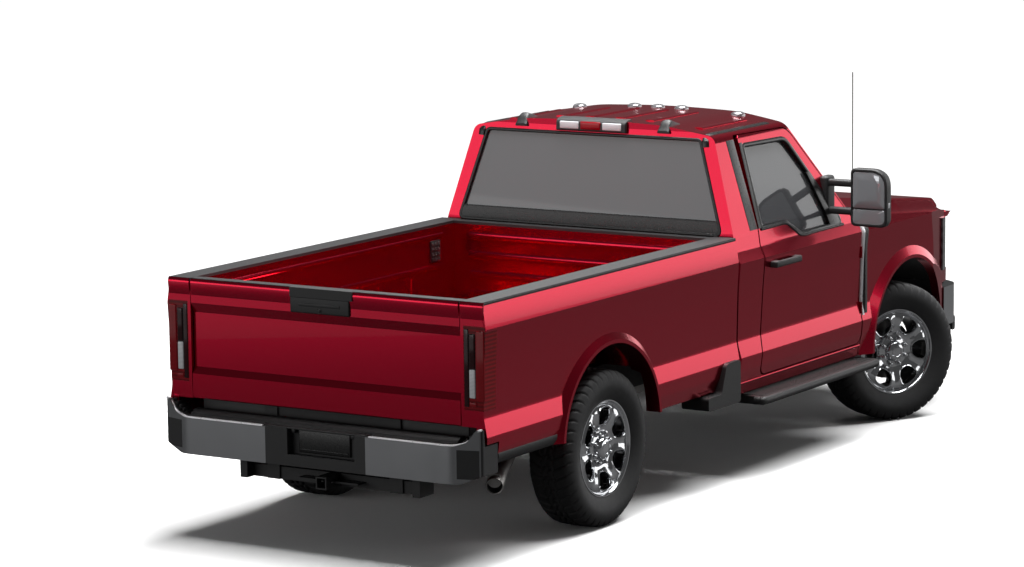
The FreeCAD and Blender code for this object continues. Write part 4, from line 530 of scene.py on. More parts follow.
def rear_wall(z):
    """The cab's rear wall along X at a height."""
    return np.interp(z, REAR_WALL[:, 0], REAR_WALL[:, 1])


# ---- pieces


def build_lamps():
    """Lenses on the tail lamps, the cargo lamp and the headlamps."""
    for name, side in SIDES:
        strip_lens = Piece("tail_lamp_strip_" + name, "clear")
        strip_lens.box((-2.862, 0.903, 0.893), (-2.85, 0.937, 1.04), 0.006).make(side=side)
        upper = Piece("tail_lamp_smoke_" + name, "smoked")
        upper.box((-2.861, 0.903, 1.044), (-2.85, 0.937, 1.222), 0.006)
        upper.box((-2.859, 0.872, 0.846), (-2.85, 0.899, 1.246), 0.004).make(side=side)
        outer = Piece("tail_lamp_lens_" + name, "red")
        outer.box((-2.861, 0.944, 0.88), (-2.85, 0.994, 1.238), 0.006, 4)
        outer.box((-2.86, 0.903, 0.848), (-2.85, 0.945, 0.872), 0.004).make(side=side)
    Piece("cargo_lamp_lenses", "clear").box((-0.15, 0.08, 1.945), (-0.135, 0.205, 1.988), 0.006).mirror().make()
    Piece("cargo_lamp_stop", "red").box((-0.151, -0.066, 1.944), (-0.135, 0.066, 1.99), 0.006).make()
    beam = Piece("headlamp_beams", "silver")
    dome = lathe([(0.0, 0.02), (0.03, 0.016), (0.044, 0.006), (0.047, 0.0), (0.056, 0.003), (0.06, 0.0),
                  (0.06, -0.02), (0.0, -0.02)], circle(40))
    for z in (1.085, 0.935):
        beam.grid(dome[..., [1, 0, 2]] + [2.778, 0.735, z])
    beam.mirror().make()
    day = Piece("headlamp_strips", "bright", slot="lamp")
    line = curve([(2.777, 0.8, 1.15), (2.779, 0.7, 1.15), (2.779, 0.672, 1.13), (2.779, 0.67, 1.0),
                  (2.779, 0.672, 0.885), (2.779, 0.7, 0.865), (2.777, 0.8, 0.865)], 70)
    day.bead(line, (1, 0, 0), 0.016, 0.006, 0.004).mirror().make()
    Piece("headlamp_signals", "amber").box((2.768, 0.7, 1.005), (2.781, 0.79, 1.017), 0.004).mirror().make()


def build_tailgate():
    """The black handle housing under the tailgate's cap with its camera, and the cap's lip."""
    handle = Piece("tailgate_handle", "plastic", "tailgate")
    handle.box((-2.8665, -0.178, 1.253), (-2.85, 0.196, 1.338), 0.009, 5)
    handle.box((-2.869, -0.12, 1.29), (-2.86, 0.138, 1.308), 0.004).make()
    camera = lathe([(0.0, 0.006), (0.006, 0.005), (0.009, 0.002), (0.012, 0.003), (0.014, 0.0), (0.014, -0.01),
                    (0.0, -0.01)], circle(32))
    camera = camera[..., [1, 0, 2]] * [-1, 1, 1] + [-2.8665, 0.009, 1.271]
    Piece("tailgate_camera", "trim", "tailgate").grid(camera).make()
    path = xyz(-2.8515, np.linspace(-TAILGATE_HALF, TAILGATE_HALF, 60), 1.379)
    Piece("tailgate_cap_lip", "trim", "tailgate").bead(path, (-1, 0, 0), 0.012, 0.0035, 0.002).make()


def build_bumpers():
    """Edge strips, tread pads, bed sill, plate housing and steps at the rear; valance, lamps and hooks in front."""
    across = np.linspace(0.335, 0.994, 90)
    top = np.interp(across, [0.335, 0.835, 0.86, 0.905, 0.925, 0.955, 0.975, 0.994],
                    [0.6525, 0.6525, 0.656, 0.669, 0.68, 0.716, 0.736, 0.7385])
    back = np.interp(across, [0.335, 0.79, 0.87, 0.994], [-2.9385, -2.9385, -2.923, -2.8905])
    edge = Piece("bumper_strip", "bright")
    edge.bead(xyz(back + 0.003, across, top), (0, 0, 1), 0.016, 0.007, 0.004).mirror().make()
    pads = Piece("bumper_pads", "plastic")
    pads.box((-2.932, 0.325, 0.64), (-2.8, 0.842, 0.6575), 0.005)
    for index in range(11):
        x = -2.922 + index * 0.011
        pads.box((x, 0.345, 0.655), (x + 0.006, 0.826, 0.6612), 0.0022, 2)
    pads.mirror()
    pads.box((-2.936, -0.322, 0.648), (-2.8, 0.322, 0.66), 0.006)
    for index in range(5):
        x = -2.9 + index * 0.018
        pads.box((x, -0.29, 0.656), (x + 0.009, 0.29, 0.6655), 0.003, 2)
    pads.make()
    sill = Piece("bed_rear_sill", "plastic")
    sill.box((-2.772, -TAILGATE_HALF, 0.56), (-2.762, TAILGATE_HALF, 0.742), 0.004)
    sill.box((-2.83, -TAILGATE_HALF, 0.662), (-2.764, TAILGATE_HALF, 0.674), 0.004)
    path = xyz(-2.845, np.linspace(-TAILGATE_HALF, TAILGATE_HALF, 60), 0.664)
    sill.bead(path, (-0.35, 0, 0.937), 0.085, 0.02, 0.01).make()
    plate = Piece("plate_housing", "trim")
    plate.box((-2.9105, -0.2, 0.526), (-2.896, 0.126, 0.65), 0.006)
    plate.box((-2.914, -0.19, 0.54), (-2.9, 0.116, 0.548), 0.003)
    plate.box((-2.926, -0.236, 0.628), (-2.896, -0.212, 0.652), 0.004)
    plate.box((-2.926, 0.138, 0.628), (-2.896, 0.162, 0.652), 0.004).make()
    steps = Piece("bumper_corner_steps", "plastic")
    for index in range(5):
        y = 0.872 + index * 0.02
        steps.box((-2.88, y, 0.664 + max(0, index - 1) * 0.015), (-2.8, y + 0.01, 0.672 + index * 0.016), 0.003)
    steps.mirror().make()

    valance = Piece("front_valance", "plastic")
    y = np.linspace(-0.94, 0.94, 120)
    face = np.interp(np.abs(y), [0.57, 0.7, 0.94], [2.944, 2.909, 2.771]) - 0.01
    section = np.array([(-0.045, -0.03), (-0.045, 0.004), (-0.03, 0.01), (0.03, 0.01), (0.045, 0.004),
                        (0.045, -0.03)])
    valance.grid(strip(xyz(face - 0.012, y, 0.478), (1, 0, 0), section)).make()
    fog = Piece("fog_lamps", "clear")
    lens = lathe([(0.0, 0.01), (0.03, 0.007), (0.042, 0.002), (0.047, 0.004), (0.052, 0.0), (0.052, -0.03),
                  (0.0, -0.03)], circle(40))
    sine, cosine = math.sin(FOG_LEAN), math.cos(FOG_LEAN)
    lens = lens[..., [1, 0, 2]] @ np.array([[cosine, sine, 0], [-sine, cosine, 0], [0, 0, 1]])
    fog.grid(lens + [2.903, 0.7, 0.6]).mirror().make()
    hooks = Piece("tow_hooks", "coating")
    hooks.grid(tube(curve([(2.8, 0.4, 0.5), (2.912, 0.4, 0.5), (2.925, 0.4, 0.47), (2.905, 0.4, 0.45),
                           (2.8, 0.4, 0.455)], 40), 0.011)).mirror().make()


def build_grille():
    """Bright bars over the grille's own, a fine mesh between them and a bright frame."""
    bright = Piece("grille_bars", "chrome")
    y = np.linspace(-0.615, 0.615, 60)
    for index in range(4):
        z = 0.853 + 0.096 * index
        bright.bead(xyz(2.803 + 0.004 * np.cos(y * 2), y, z), (1, 0, 0), 0.038, 0.01, 0.004)
    frame_line = rounded([(-0.655, 0.755, 0.03), (0.655, 0.755, 0.03), (0.655, 1.172, 0.03),
                          (-0.655, 1.172, 0.03)], 6)
    bright.bead(xyz(2.797, frame_line[:, 0], frame_line[:, 1]), (1, 0, 0), 0.02, 0.008, 0.004, True).make()
    mesh = Piece("grille_mesh", "trim")
    for index in range(25):
        y = -0.6 + index * 0.05
        mesh.box((2.762, y - 0.0035, 0.79), (2.772, y + 0.0035, 1.14), 0.002, 2)
    mesh.make()


def build_bed():
    """Stamped beads on the headboard and walls, tie-down plates with their holes' rims, and tie-down loops."""
    brow = np.array([(-0.054, -0.004), (-0.046, 0.003), (-0.032, 0.0072), (-0.026, 0.0076), (0.036, 0.0004),
                     (0.036, -0.004)])
    for name, body, low, high in (("tailgate_brow", "tailgate", -TAILGATE_HALF, TAILGATE_HALF),
                                  ("post_brow_left", "chassis", 0.853, 0.99),
                                  ("post_brow_right", "chassis", -0.99, -0.853)):
        y = np.linspace(low, high, 50)
        Piece(name, "paint", body).grid(strip(xyz(TAILGATE_X, y, 1.332), (-1, 0, 0), brow * [-1, 1])).make()
    shoulder = Piece("bed_shoulders", "paint")
    path = xyz(np.linspace(-2.8535, -0.207, 100), 0.983, 1.3)
    section = np.array([(-0.069, 0.012), (-0.066, 0.0196), (-0.06, 0.0212), (-0.052, 0.0208), (0.069, 0.0022),
                        (0.069, -0.004), (-0.05, -0.004)])
    shoulder.grid(strip(path, (0, 1, 0), section)).mirror().make()
    beads = Piece("bed_beads", "paint")
    y = np.linspace(-0.74, 0.74, 50)
    for z, height in ((0.96, 0.01), (1.075, 0.01), (1.19, 0.01), (1.3, 0.008)):
        beads.bead(xyz(-0.2975, y, z), (-1, 0, 0), 0.052, height, 0.003)
    wall = Piece("bed_wall_beads", "paint")
    x = np.linspace(-2.7, -0.42, 80)
    for z, width in ((1.318, 0.026), (1.135, 0.034)):
        wall.bead(xyz(x, BED_WALL + 0.0005, z), (0, -1, 0), width, 0.007, 0.003)
    for x in (-0.78, -1.12, -2.12, -2.46):
        z = np.linspace(0.9, 1.1, 12)
        wall.bead(xyz(x, BED_WALL + 0.0005, z), (0, -1, 0), 0.06, 0.008, 0.003)
    wall.mirror().make()
    beads.make()
    plates = Piece("tie_down_plates", "trim")
    stud = lathe([(0.0, 0.0015), (0.004, 0.0015), (0.0055, 0.0035), (0.0085, 0.003), (0.0095, 0.0), (0.0, -0.001)],
                 circle(16))
    for x in (-0.5, -2.6):
        plates.box((x - 0.05, 0.842, 1.165), (x + 0.05, 0.852, 1.292), 0.004)
        for column in range(3):
            for row in range(4):
                plates.grid(stud * [1, -1, 1] + [x - 0.03 + column * 0.03, 0.842, 1.184 + row * 0.03])
    plates.mirror().make()
    loops = Piece("tie_down_loops", "coating")
    for x in (-0.42, -2.76):
        path = curve([(x - 0.03, 0.853, 0.93), (x - 0.03, 0.825, 0.93), (x - 0.02, 0.812, 0.93),
                      (x + 0.02, 0.812, 0.93), (x + 0.03, 0.825, 0.93), (x + 0.03, 0.853, 0.93)], 40)
        loops.grid(tube(path, 0.0055, 10))
    loops.mirror().make()
    path = xyz(np.linspace(-2.846, -0.212, 120), 0.9845, 1.3775)
    Piece("rail_cap_edges", "trim").bead(path, (0, 1, 0), 0.013, 0.003, 0.002).mirror().make()


def build_cab_trim(settings):
    """Rear window's seal and dark foot, and the roof's ditch strips, lamp domes, wedges and pressed beads."""
    seal = Piece("rear_window_seal", "trim")
    line = rounded(REAR_WINDOW, 6)
    seal.bead(xyz(rear_wall(line[:, 1]), line[:, 0], line[:, 1]), (-1, 0, 0.12), 0.02, 0.004, 0.006, True)
    y = np.linspace(-0.862, 0.862, 60)
    seal.bead(xyz(float(rear_wall(1.43)) - 0.0005, y, 1.43), (-1, 0, 0.12), 0.08, 0.002, 0.006).make()

    ditch = Piece("roof_ditch_strips", "trim")
    path = curve([(-0.134, 0.752, 1.88), (-0.125, 0.748, 1.918), (-0.088, 0.745, 1.9435), (0.05, 0.745, 1.9463),
                  (0.25, 0.745, 1.9463), (0.45, 0.745, 1.9463), (0.6, 0.745, 1.9463)], 90)
    turning = np.interp(path[:, 0], [-0.134, -0.06], [0, 1])
    up = xyz(turning - 1, 0.14, turning)
    up /= np.linalg.norm(up, axis=1, keepdims=True)
    ditch.bead(path, up, 0.042, 0.006, 0.006).mirror().make()

    domes = Piece("roof_lamp_domes", "dome")
    for y in (-0.54, -0.16, 0.0, 0.16, 0.54):
        foot = float(roof_top(y))
        domes.grid(cushion((0.598, y - 0.04, foot - 0.03), (0.674, y + 0.04, min(foot + 0.024, 2.0205)),
                           settings, 0.62, False))
    domes.make("roof_lamps")

    wedges = Piece("roof_wedges", "plastic")
    x = np.linspace(-0.136, 0.03, 30)
    rise = np.interp(x, [-0.136, -0.112, -0.08, 0.03], [0.004, 0.034, 0.035, 0.003])
    half = np.interp(x, [-0.136, 0.03], [0.038, 0.02])
    base = float(roof_top(0.476)) - 0.005 - 0.028 * smooth_step(-0.085, -0.14, x)
    turn = np.linspace(0, math.pi, 13)
    shape = np.stack([-np.cos(turn) * np.abs(np.cos(turn)) ** -0.4 * (np.abs(np.cos(turn)) > 1e-6),
                      np.sin(turn) ** 0.6], axis=-1)
    shape = np.concatenate([[(-1, -0.6)], shape, [(1, -0.6)]])
    across, up = shape.T
    rows = xyz(x[:, None], 0.476 + half[:, None] * across, base[:, None] + (rise[:, None] + 0.005) * up)
    wedges.grid(capped(rows)).mirror().make("cab_trim")

    beads = Piece("roof_beads", "paint")
    x = np.linspace(0.02, 0.545, 40)
    for y in (0.1, 0.3, 0.62):
        beads.bead(xyz(x, y, float(roof_top(y))), (0, 0, 1), 0.06, 0.007, 0.004)
    beads.mirror().make()


def screen_face(y, z):
    """The windscreen's distance ahead: level across the middle, bowed back outside it, leaning with the height."""
    return np.interp(np.abs(y), [0.523, 1.345], [1.3986, 1.113]) - (z - 1.345) * SCREEN_SLOPE


def build_windscreen():
    """Seal round the windscreen, a ribbed cowl panel at its foot, and two wipers at rest on the glass."""
    line = rounded([(-0.884, 1.361, 0.02), (0.884, 1.361, 0.02), (0.737, 1.904, 0.045), (-0.737, 1.904, 0.045)], 8)
    line = np.concatenate([line, line[:1]])
    length = np.concatenate([[0], np.cumsum(np.linalg.norm(np.diff(line, axis=0), axis=1))])
    place = np.linspace(0, length[-1], 241)[:-1]
    y, z = np.interp(place, length, line[:, 0]), np.interp(place, length, line[:, 1])
    bow, rise = 0.3474, 0.971
    normal = xyz(1.0, bow * np.sign(y) * smooth_step(0.5, 0.55, np.abs(y)), rise)
    normal /= np.linalg.norm(normal, axis=1, keepdims=True)
    Piece("windscreen_seal", "trim").bead(xyz(screen_face(y, z), y, z), normal, 0.03, 0.003, 0.005, True).make()

    cowl = Piece("cowl_panel", "plastic")
    y = np.linspace(-0.84, 0.84, 420)
    foot = screen_face(y, 1.352) + 0.004
    ridge = RIB_RISE * np.maximum(np.cos(y * 2 * math.pi / RIB_PITCH), 0) * smooth_step(0.8, 0.76, np.abs(y))
    ring = [(foot, 1.343), (foot, 1.3505), (foot + 0.008, 1.3525 + 0 * y), (foot + 0.014, 1.3515 + ridge),
            (1.425, 1.35 + ridge), (1.431, 1.35), (1.434, 1.348), (1.434, 1.343)]
    cowl.grid(capped(np.stack([xyz(x, y, z) for x, z in ring], axis=1))).make()

    wipers = Piece("wipers", "trim")
    lean = np.array([0.717, 0, 0.697])
    for hub, low, high in ((0.47, 0.5, -0.12), (-0.18, -0.15, -0.7)):
        y = np.linspace(low, high, 30)
        z = 1.398 + 0.03 * np.linspace(0, 1, 30)
        blade = xyz(screen_face(y, z), y, z)
        wipers.grid(tube(blade + lean * 0.008, 0.0055, 10))
        reach = curve([(1.412, hub, 1.356), (1.404, hub - 0.05, 1.372),
                       blade[9] + lean * 0.02, blade[15] + lean * 0.014], 30)
        wipers.grid(tube(reach, np.linspace(0.01, 0.005, 30), 10))
        wipers.grid(tube([(1.412, hub, 1.346), (1.412, hub, 1.36), (1.412, hub, 1.366)], [0.016, 0.015, 0.009], 20))
    wipers.make()


def build_floor_pan():
    """Each side's floor from the middle to the sill's inner wall, and a mat whose ribs follow a cosine across it."""
    pan = Piece("floor_pans", "vinyl")
    x = np.linspace(0.03, 1.35, 40)
    pan.grid(drawn(x, [(0.834, 0.55), (0.834, 0.738), (0.826, 0.752), (0.806, 0.762), (0.392, 0.762), (0.392, 0.744),
                       (0.79, 0.744), (0.812, 0.734), (0.82, 0.72), (0.82, 0.55)])).mirror().make()
    mat = Piece("floor_mats", "plastic")
    y = np.linspace(0.3, 0.78, 160)
    top = 0.768 + RIB_RISE * np.cos(y * 2 * math.pi / RIB_PITCH) + 0.012 * smooth_step(0.76, 0.78, y)
    top[[0, -1]] = 0.763
    ring = np.concatenate([np.stack([y, top], axis=-1), [(0.78, 0.7612), (0.3, 0.7612)]])
    mat.grid(drawn(np.linspace(0.74, 1.3, 30), ring)).mirror().make()


def build_gap_seals():
    """Seals behind each door's rear edge and along the windscreen pillar, and the tailgate's stamped inner frame."""
    seals = Piece("door_gap_seals", "trim")
    z = np.linspace(0.61, 1.905, 90)
    x = np.interp(z, [0.61, 0.78, 1.2, 1.395, 1.93], [0.07, 0.082, 0.1, 0.104, 0.11])
    y = np.minimum(skin_half(z) - 0.052, 0.886)
    section = np.array([(-0.044, -0.014), (-0.044, -0.003), (-0.038, 0.0), (0.038, 0.0), (0.044, -0.003),
                        (0.044, -0.014)])
    seals.grid(strip(xyz(x, y, z), (0, 1, 0), section))
    line = curve([(1.262, 0.0, 1.33), (1.206, 0.0, 1.37), (1.046, 0.0, 1.552), (0.886, 0.0, 1.733),
                  (0.74, 0.0, 1.899)], 60)
    line[:, 1] = skin_half(line[:, 2]) - 0.05
    seals.grid(strip(line, (0, 1, 0), section * [0.55, 1])).mirror().make()
    panel = Piece("tailgate_inner_frame", "paint", "tailgate")
    line = rounded([(-0.78, 0.905, 0.05), (0.78, 0.905, 0.05), (0.78, 1.3, 0.05), (-0.78, 1.3, 0.05)], 9)
    panel.bead(xyz(-2.7895, line[:, 0], line[:, 1]), (1, 0, 0), 0.034, 0.006, 0.004, True)
    y = np.linspace(-0.7, 0.7, 50)
    for z in (0.975, 1.05, 1.155, 1.23):
        panel.bead(xyz(-2.7895, y, z), (1, 0, 0), 0.04, 0.005, 0.004)
    panel.make()


def build_door_cards():
    """A moulded card with arm rest, pull, bin and speaker on each door's inner face, and a bright release."""
    for name, side in SIDES:
        card = Piece("door_card_" + name, "vinyl", "door_" + name)
        card.box((0.175, 0.88, 0.64), (1.235, 0.898, 1.255), 0.012, 5)
        card.box((0.19, 0.868, 1.13), (1.215, 0.888, 1.245), 0.016, 5)
        card.box((0.26, 0.845, 0.96), (0.86, 0.888, 1.025), 0.02, 6)
        card.box((0.33, 0.862, 0.665), (1.06, 0.886, 0.8), 0.018, 6)
        speaker = lathe([(0.0, 0.008), (0.055, 0.007), (0.068, 0.003), (0.074, 0.006), (0.082, 0.0), (0.082, -0.01),
                         (0.0, -0.01)], circle(48)) * [1, -1, 1]
        card.grid(speaker + [1.12, 0.88, 0.9]).make(side=side)
        release = Piece("door_release_" + name, "chrome", "door_" + name)
        release.box((0.9, 0.868, 1.055), (1.01, 0.884, 1.085), 0.006, 4).make(side=side)


def build_engine_bay(settings):
    """Ribbed cover and valve covers on the engine, a tank on the radiator, and hoses between them."""
    top = Piece("engine_cover", "vinyl")
    top.grid(cushion((1.64, -0.225, 1.118), (2.29, 0.225, 1.186), settings, 0.3, False))
    for y in (-0.12, -0.06, 0.06, 0.12):
        x = np.linspace(1.72, 2.21, 30)
        top.bead(xyz(x, y, 1.18), (0, 0, 1), 0.022, 0.01, 0.012)
    top.make()
    covers = Piece("valve_covers", "iron")
    x = np.linspace(1.6, 2.33, 60)
    bolts = 0.046 + 0.004 * np.maximum(np.cos((x - 1.66) * 2 * math.pi / 0.11), 0)
    covers.grid(tube(xyz(x, 0.284, 1.132), bolts, 24)).mirror().make()
    hoses = Piece("engine_hoses", "trim")
    hoses.grid(tube(curve([(2.25, 0.11, 1.15), (2.34, 0.15, 1.17), (2.43, 0.23, 1.15),
                           (2.47, 0.33, 1.08), (2.55, 0.38, 1.05)], 60), 0.038, 24))
    hoses.grid(tube(curve([(2.385, -0.16, 1.06), (2.44, -0.19, 1.095), (2.49, -0.28, 1.11),
                           (2.56, -0.33, 1.09)], 60), 0.024, 20))
    hoses.make()
    tank = Piece("radiator_tank", "plastic")
    tank.box((2.532, -0.536, 1.11), (2.617, 0.536, 1.152), 0.016, 5)
    filler = lathe([(0.0, 0.012), (0.02, 0.012), (0.024, 0.008), (0.024, 0.0), (0.0, -0.01)], circle(24))
    tank.grid(filler[..., [0, 2, 1]] + [2.574, -0.3, 1.15]).make()


def layered(outline, layers):
    """The outline once for each layer: pulled in to a share of its size, at a distance ahead."""
    middle = outline.mean(axis=0)
    return np.array([xyz(ahead, *(middle + (outline - middle) * share).T) for share, ahead in layers])


def mirror_grids():
    """The mirror's head as rings from its recessed back over the rim to its domed front, and its two panes."""
    line = rounded([(1.108, 1.32, 0.035), (1.3445, 1.32, 0.045), (1.3445, 1.6625, 0.105), (1.108, 1.6625, 0.035)], 9)
    head = capped(layered(line, [
        (0.84, 0.969), (0.88, 0.969), (0.895, 0.964), (0.93, 0.9622), (0.97, 0.964), (1.0, 0.97),
        (1.0, 1.01), (0.95, 1.035), (0.8, 1.056), (0.58, 1.067), (0.3, 1.071), (0.06, 1.0718)]))
    layers = [(0, 0.97), (1, 0.97), (1, 0.9668), (0.98, 0.9655), (0.5, 0.9648), (0, 0.9646)]
    panes = [layered(rounded(corners, 7), layers) for corners in (
        [(1.124, 1.43, 0.01), (1.329, 1.43, 0.01), (1.329, 1.647, 0.092), (1.124, 1.647, 0.02)],
        [(1.124, 1.336, 0.022), (1.329, 1.336, 0.032), (1.329, 1.42, 0.01), (1.124, 1.42, 0.01)])]
    return head, panes


def build_doors():
    """Window seals, waist strips, pillar bands, handle, lock and mirror on each door."""
    for name, side in SIDES:
        body = "door_" + name
        line = rounded(DOOR_WINDOW, 8)
        path = xyz(line[:, 0], skin_half(line[:, 1]) - 0.001, line[:, 1])
        seal = Piece("window_seal_" + name, "trim", body)
        seal.bead(path, (0, 0.96, 0.28), 0.026, 0.005, 0.008, True)
        waist = [(0.14, 1.391), (0.3, 1.391), (0.44, 1.39), (0.53, 1.345), (0.62, 1.3015), (0.8, 1.301),
                 (1.0, 1.301), (1.14, 1.301)]
        low = curve(waist, 90)
        seal.bead(xyz(low[:, 0], skin_half(low[:, 1]) - 0.001, low[:, 1]), (0, 0.98, 0.2), 0.018, 0.0075, 0.006)
        seal.make(side=side)
        z = np.linspace(1.398, 1.905, 24)
        band = Piece("pillar_band_" + name, "trim")
        edge = np.interp(z, [1.395, 1.93], [0.098, 0.082])
        band.grid(cover(z, edge, edge - 0.085, 0.0022)).make(side=side)
        frame_band = Piece("door_band_" + name, "trim", body)
        z = np.linspace(1.398, 1.88, 24)
        edge = np.interp(z, [1.395, 1.922], [0.1145, 0.1385])
        frame_band.grid(cover(z, edge, edge + 0.034, 0.0022))
        z = np.linspace(1.312, 1.64, 20)
        front = 1.128 - (z - 1.311) * 450 / 545
        frame_band.grid(cover(z, front, front - np.interp(z, [1.312, 1.64], [0.15, 0.03]), 0.003, 0.014))
        frame_band.make(side=side)
        handle = Piece("door_handle_" + name, "plastic", body)
        handle.box((0.198, 1.0185, 1.1675), (0.472, 1.0425, 1.2045), 0.009, 5)
        handle.box((0.18, 0.985, 1.167), (0.245, 1.042, 1.205), 0.009, 5)
        handle.box((0.4405, 0.985, 1.167), (0.49, 1.042, 1.205), 0.009, 5).make(side=side)
        head, panes = mirror_grids()
        Piece("mirror_" + name + "_shell", "plastic", body).grid(head).box(
            (0.985, 0.905, 1.38), (1.033, 1.13, 1.422), 0.014, 4).box(
            (0.985, 0.905, 1.545), (1.033, 1.13, 1.587), 0.014, 4).box(
            (0.972, 0.895, 1.352), (1.076, 0.955, 1.604), 0.02, 4).make("mirror_" + name, side=side)
        glass = Piece("mirror_glass_" + name, "silver", body, slot="glass")
        for pane in panes:
            glass.grid(pane)
        glass.make(side=side)
        signal = Piece("mirror_signal_" + name, "clear", body)
        signal.box((0.984, 1.33, 1.43), (1.014, 1.3446, 1.47), 0.005).make(side=side)
        lock = lathe([(0.0, 0.002), (0.007, 0.002), (0.009, 0.0), (0.009, -0.01), (0.0, -0.01)], circle(24))
        Piece("door_lock_" + name, "chrome", body).grid(lock + [0.52, 1.0005, 1.186]).make(side=side)


def cover(z, front, rear, proud, sink=0.006):
    """A thin closed cover on the body's side: its edges follow two lines over the height, its face stands proud of
    the skin and its back sinks below it."""
    front, rear = np.broadcast_to(front, z.shape), np.broadcast_to(rear, z.shape)
    skin = skin_half(z)
    bevel = 0.004
    ring = [(front, skin - sink), (front, skin + proud * 0.6), (front + np.sign(rear - front) * bevel, skin + proud),
            (rear - np.sign(rear - front) * bevel, skin + proud), (rear, skin + proud * 0.6), (rear, skin - sink)]
    return capped(np.stack([xyz(x, y, z) for x, y in ring], axis=1))


def fender_crown():
    """Rises from the fender's shoulder to the hood's edge by the power 2.2 of what is left of the way across, and
    fades in at the cowl and out at the nose."""
    x = np.linspace(1.47, 2.694, 72)[:, None]
    share = np.linspace(0, 1, 16)[None, :]
    hood = np.minimum(1.326, 1.264 + (2.702 - x) * 0.11)
    fender = 1.325 - (x - 1.337) * 0.0855
    fade = smooth_step(1.47, 1.62, x) * (1 - smooth_step(2.64, 2.694, x))
    y = 0.8105 + 0.125 * share
    top = fender - 0.012 * share - 0.004 + np.maximum(hood - fender - 0.004, 0) * fade * (1 - share) ** 2.2
    lower = xyz(x, y[:, ::-1], fender - 0.012 - 0.033 * fade)
    return capped(np.concatenate([xyz(x, y, top), lower], axis=1))


def build_side_trim():
    """Strips, vent mesh and crowns on the fenders, sill and quarter trim, boards, exhaust tip and aerial foot."""
    bright = Piece("fender_strips", "bright")
    z = np.linspace(0.73, 1.262, 60)
    bright.bead(xyz(1.351, skin_half(z) - 0.001, z), (0, 1, 0), 0.03, 0.011, 0.006).mirror().make()
    mesh = Piece("fender_meshes", "vent")
    z = np.linspace(0.79, 1.255, 40)
    mesh.grid(cover(z, 1.3635, np.interp(z, [0.79, 1.255], [1.368, 1.412]), 0.0075)).mirror().make()
    path = xyz(np.linspace(-0.185, 1.325, 60), float(skin_half(0.548)), 0.548)
    Piece("rocker_beads", "paint").bead(path, (0, 0.8, 0.6), 0.02, 0.008, 0.008).mirror().make()
    Piece("fender_crowns", "paint").grid(fender_crown()).mirror().make()
    path = xyz(np.linspace(-2.735, -2.135, 40), 0.98, 0.574)
    Piece("quarter_mouldings", "plastic").bead(path, (0, 0.98, -0.2), 0.066, 0.014, 0.012).mirror().make()

    noses = Piece("board_noses", "plastic")
    path = curve([(-0.052, 1.02, 0.437), (-0.045, 1.052, 0.437), (-0.01, 1.07, 0.437), (0.3, 1.07, 0.437),
                  (0.9, 1.07, 0.437), (1.34, 1.07, 0.437), (1.383, 1.052, 0.437), (1.39, 1.02, 0.437)], 120)
    noses.grid(tube(path, 0.0245, 16)).mirror().make()
    tread = Piece("board_treads", "trim")
    x = np.linspace(-0.02, 1.36, 60)
    for index in range(9):
        y = 0.925 + index * 0.0155
        tread.bead(xyz(x, y, 0.46), (0, 0, 1), 0.008, 0.004, 0.002)
    for index in range(7):
        y = 0.885 + index * 0.021
        tread.bead(xyz(np.linspace(-0.575, -0.455, 12), y, 0.535), (0, 0, 1), 0.01, 0.004, 0.002)
    tread.mirror().make()

    ahead = np.array([-0.888, -0.418, -0.19])
    tip = lathe([(0.0395, 0.0), (0.044, -0.002), (0.0462, 0.004), (0.0462, 0.14), (0.04, 0.165), (0.0385, 0.165),
                 (0.0395, 0.0)], circle(48))
    across = np.array([0.426, -0.905, 0.0])
    above = np.cross(ahead, across)
    spot = np.array([-2.664, -0.922, 0.406])
    placed = spot - tip[..., 1:2] * ahead + tip[..., 0:1] * across + tip[..., 2:3] * above
    Piece("exhaust_tip", "bare").grid(placed).make()
    foot = lathe([(0.0, 0.03), (0.004, 0.029), (0.007, 0.014), (0.016, 0.006), (0.019, 0.0), (0.019, -0.01),
                  (0.0, -0.01)], circle(32))
    Piece("aerial_foot", "trim").grid(foot[..., [0, 2, 1]] + [1.478, -0.862, 1.332]).make()


def cushion(low, high, settings, power=0.34, sewn=True):
    """A box-like ball: each axis is a product of cosines and sines raised to a small power, pulled in by the squares
    of the other two; sewn channels dip the top and bottom where a cosine of the width peaks."""
    low, high = np.array(low, float), np.array(high, float)
    middle, half = (low + high) / 2, (high - low) / 2
    rise = np.linspace(-math.pi / 2, math.pi / 2, 57)[:, None]
    turn = circle(112)[None, :]

    def grown(value):
        return np.sign(value) * np.abs(value) ** power

    x = grown(np.cos(rise)) * grown(np.cos(turn))
    y = grown(np.cos(rise)) * grown(np.sin(turn))
    z = grown(np.sin(rise)) + 0 * turn
    crown = settings.cushion_crown
    shape = xyz(x * (1 - crown * (y ** 2 + z ** 2) / 2), y * (1 - crown * (x ** 2 + z ** 2) / 2),
                z * (1 - crown * (x ** 2 + y ** 2) / 2))
    channel = np.cos(y * math.pi * settings.cushion_channels)
    groove = smooth_step(0.86, 1.0, channel) * (1 - np.abs(x) ** 6)
    shape[..., 2] -= sewn * np.sign(z) * groove * settings.cushion_groove / half[2] * np.abs(z) ** 3
    return middle + shape * half


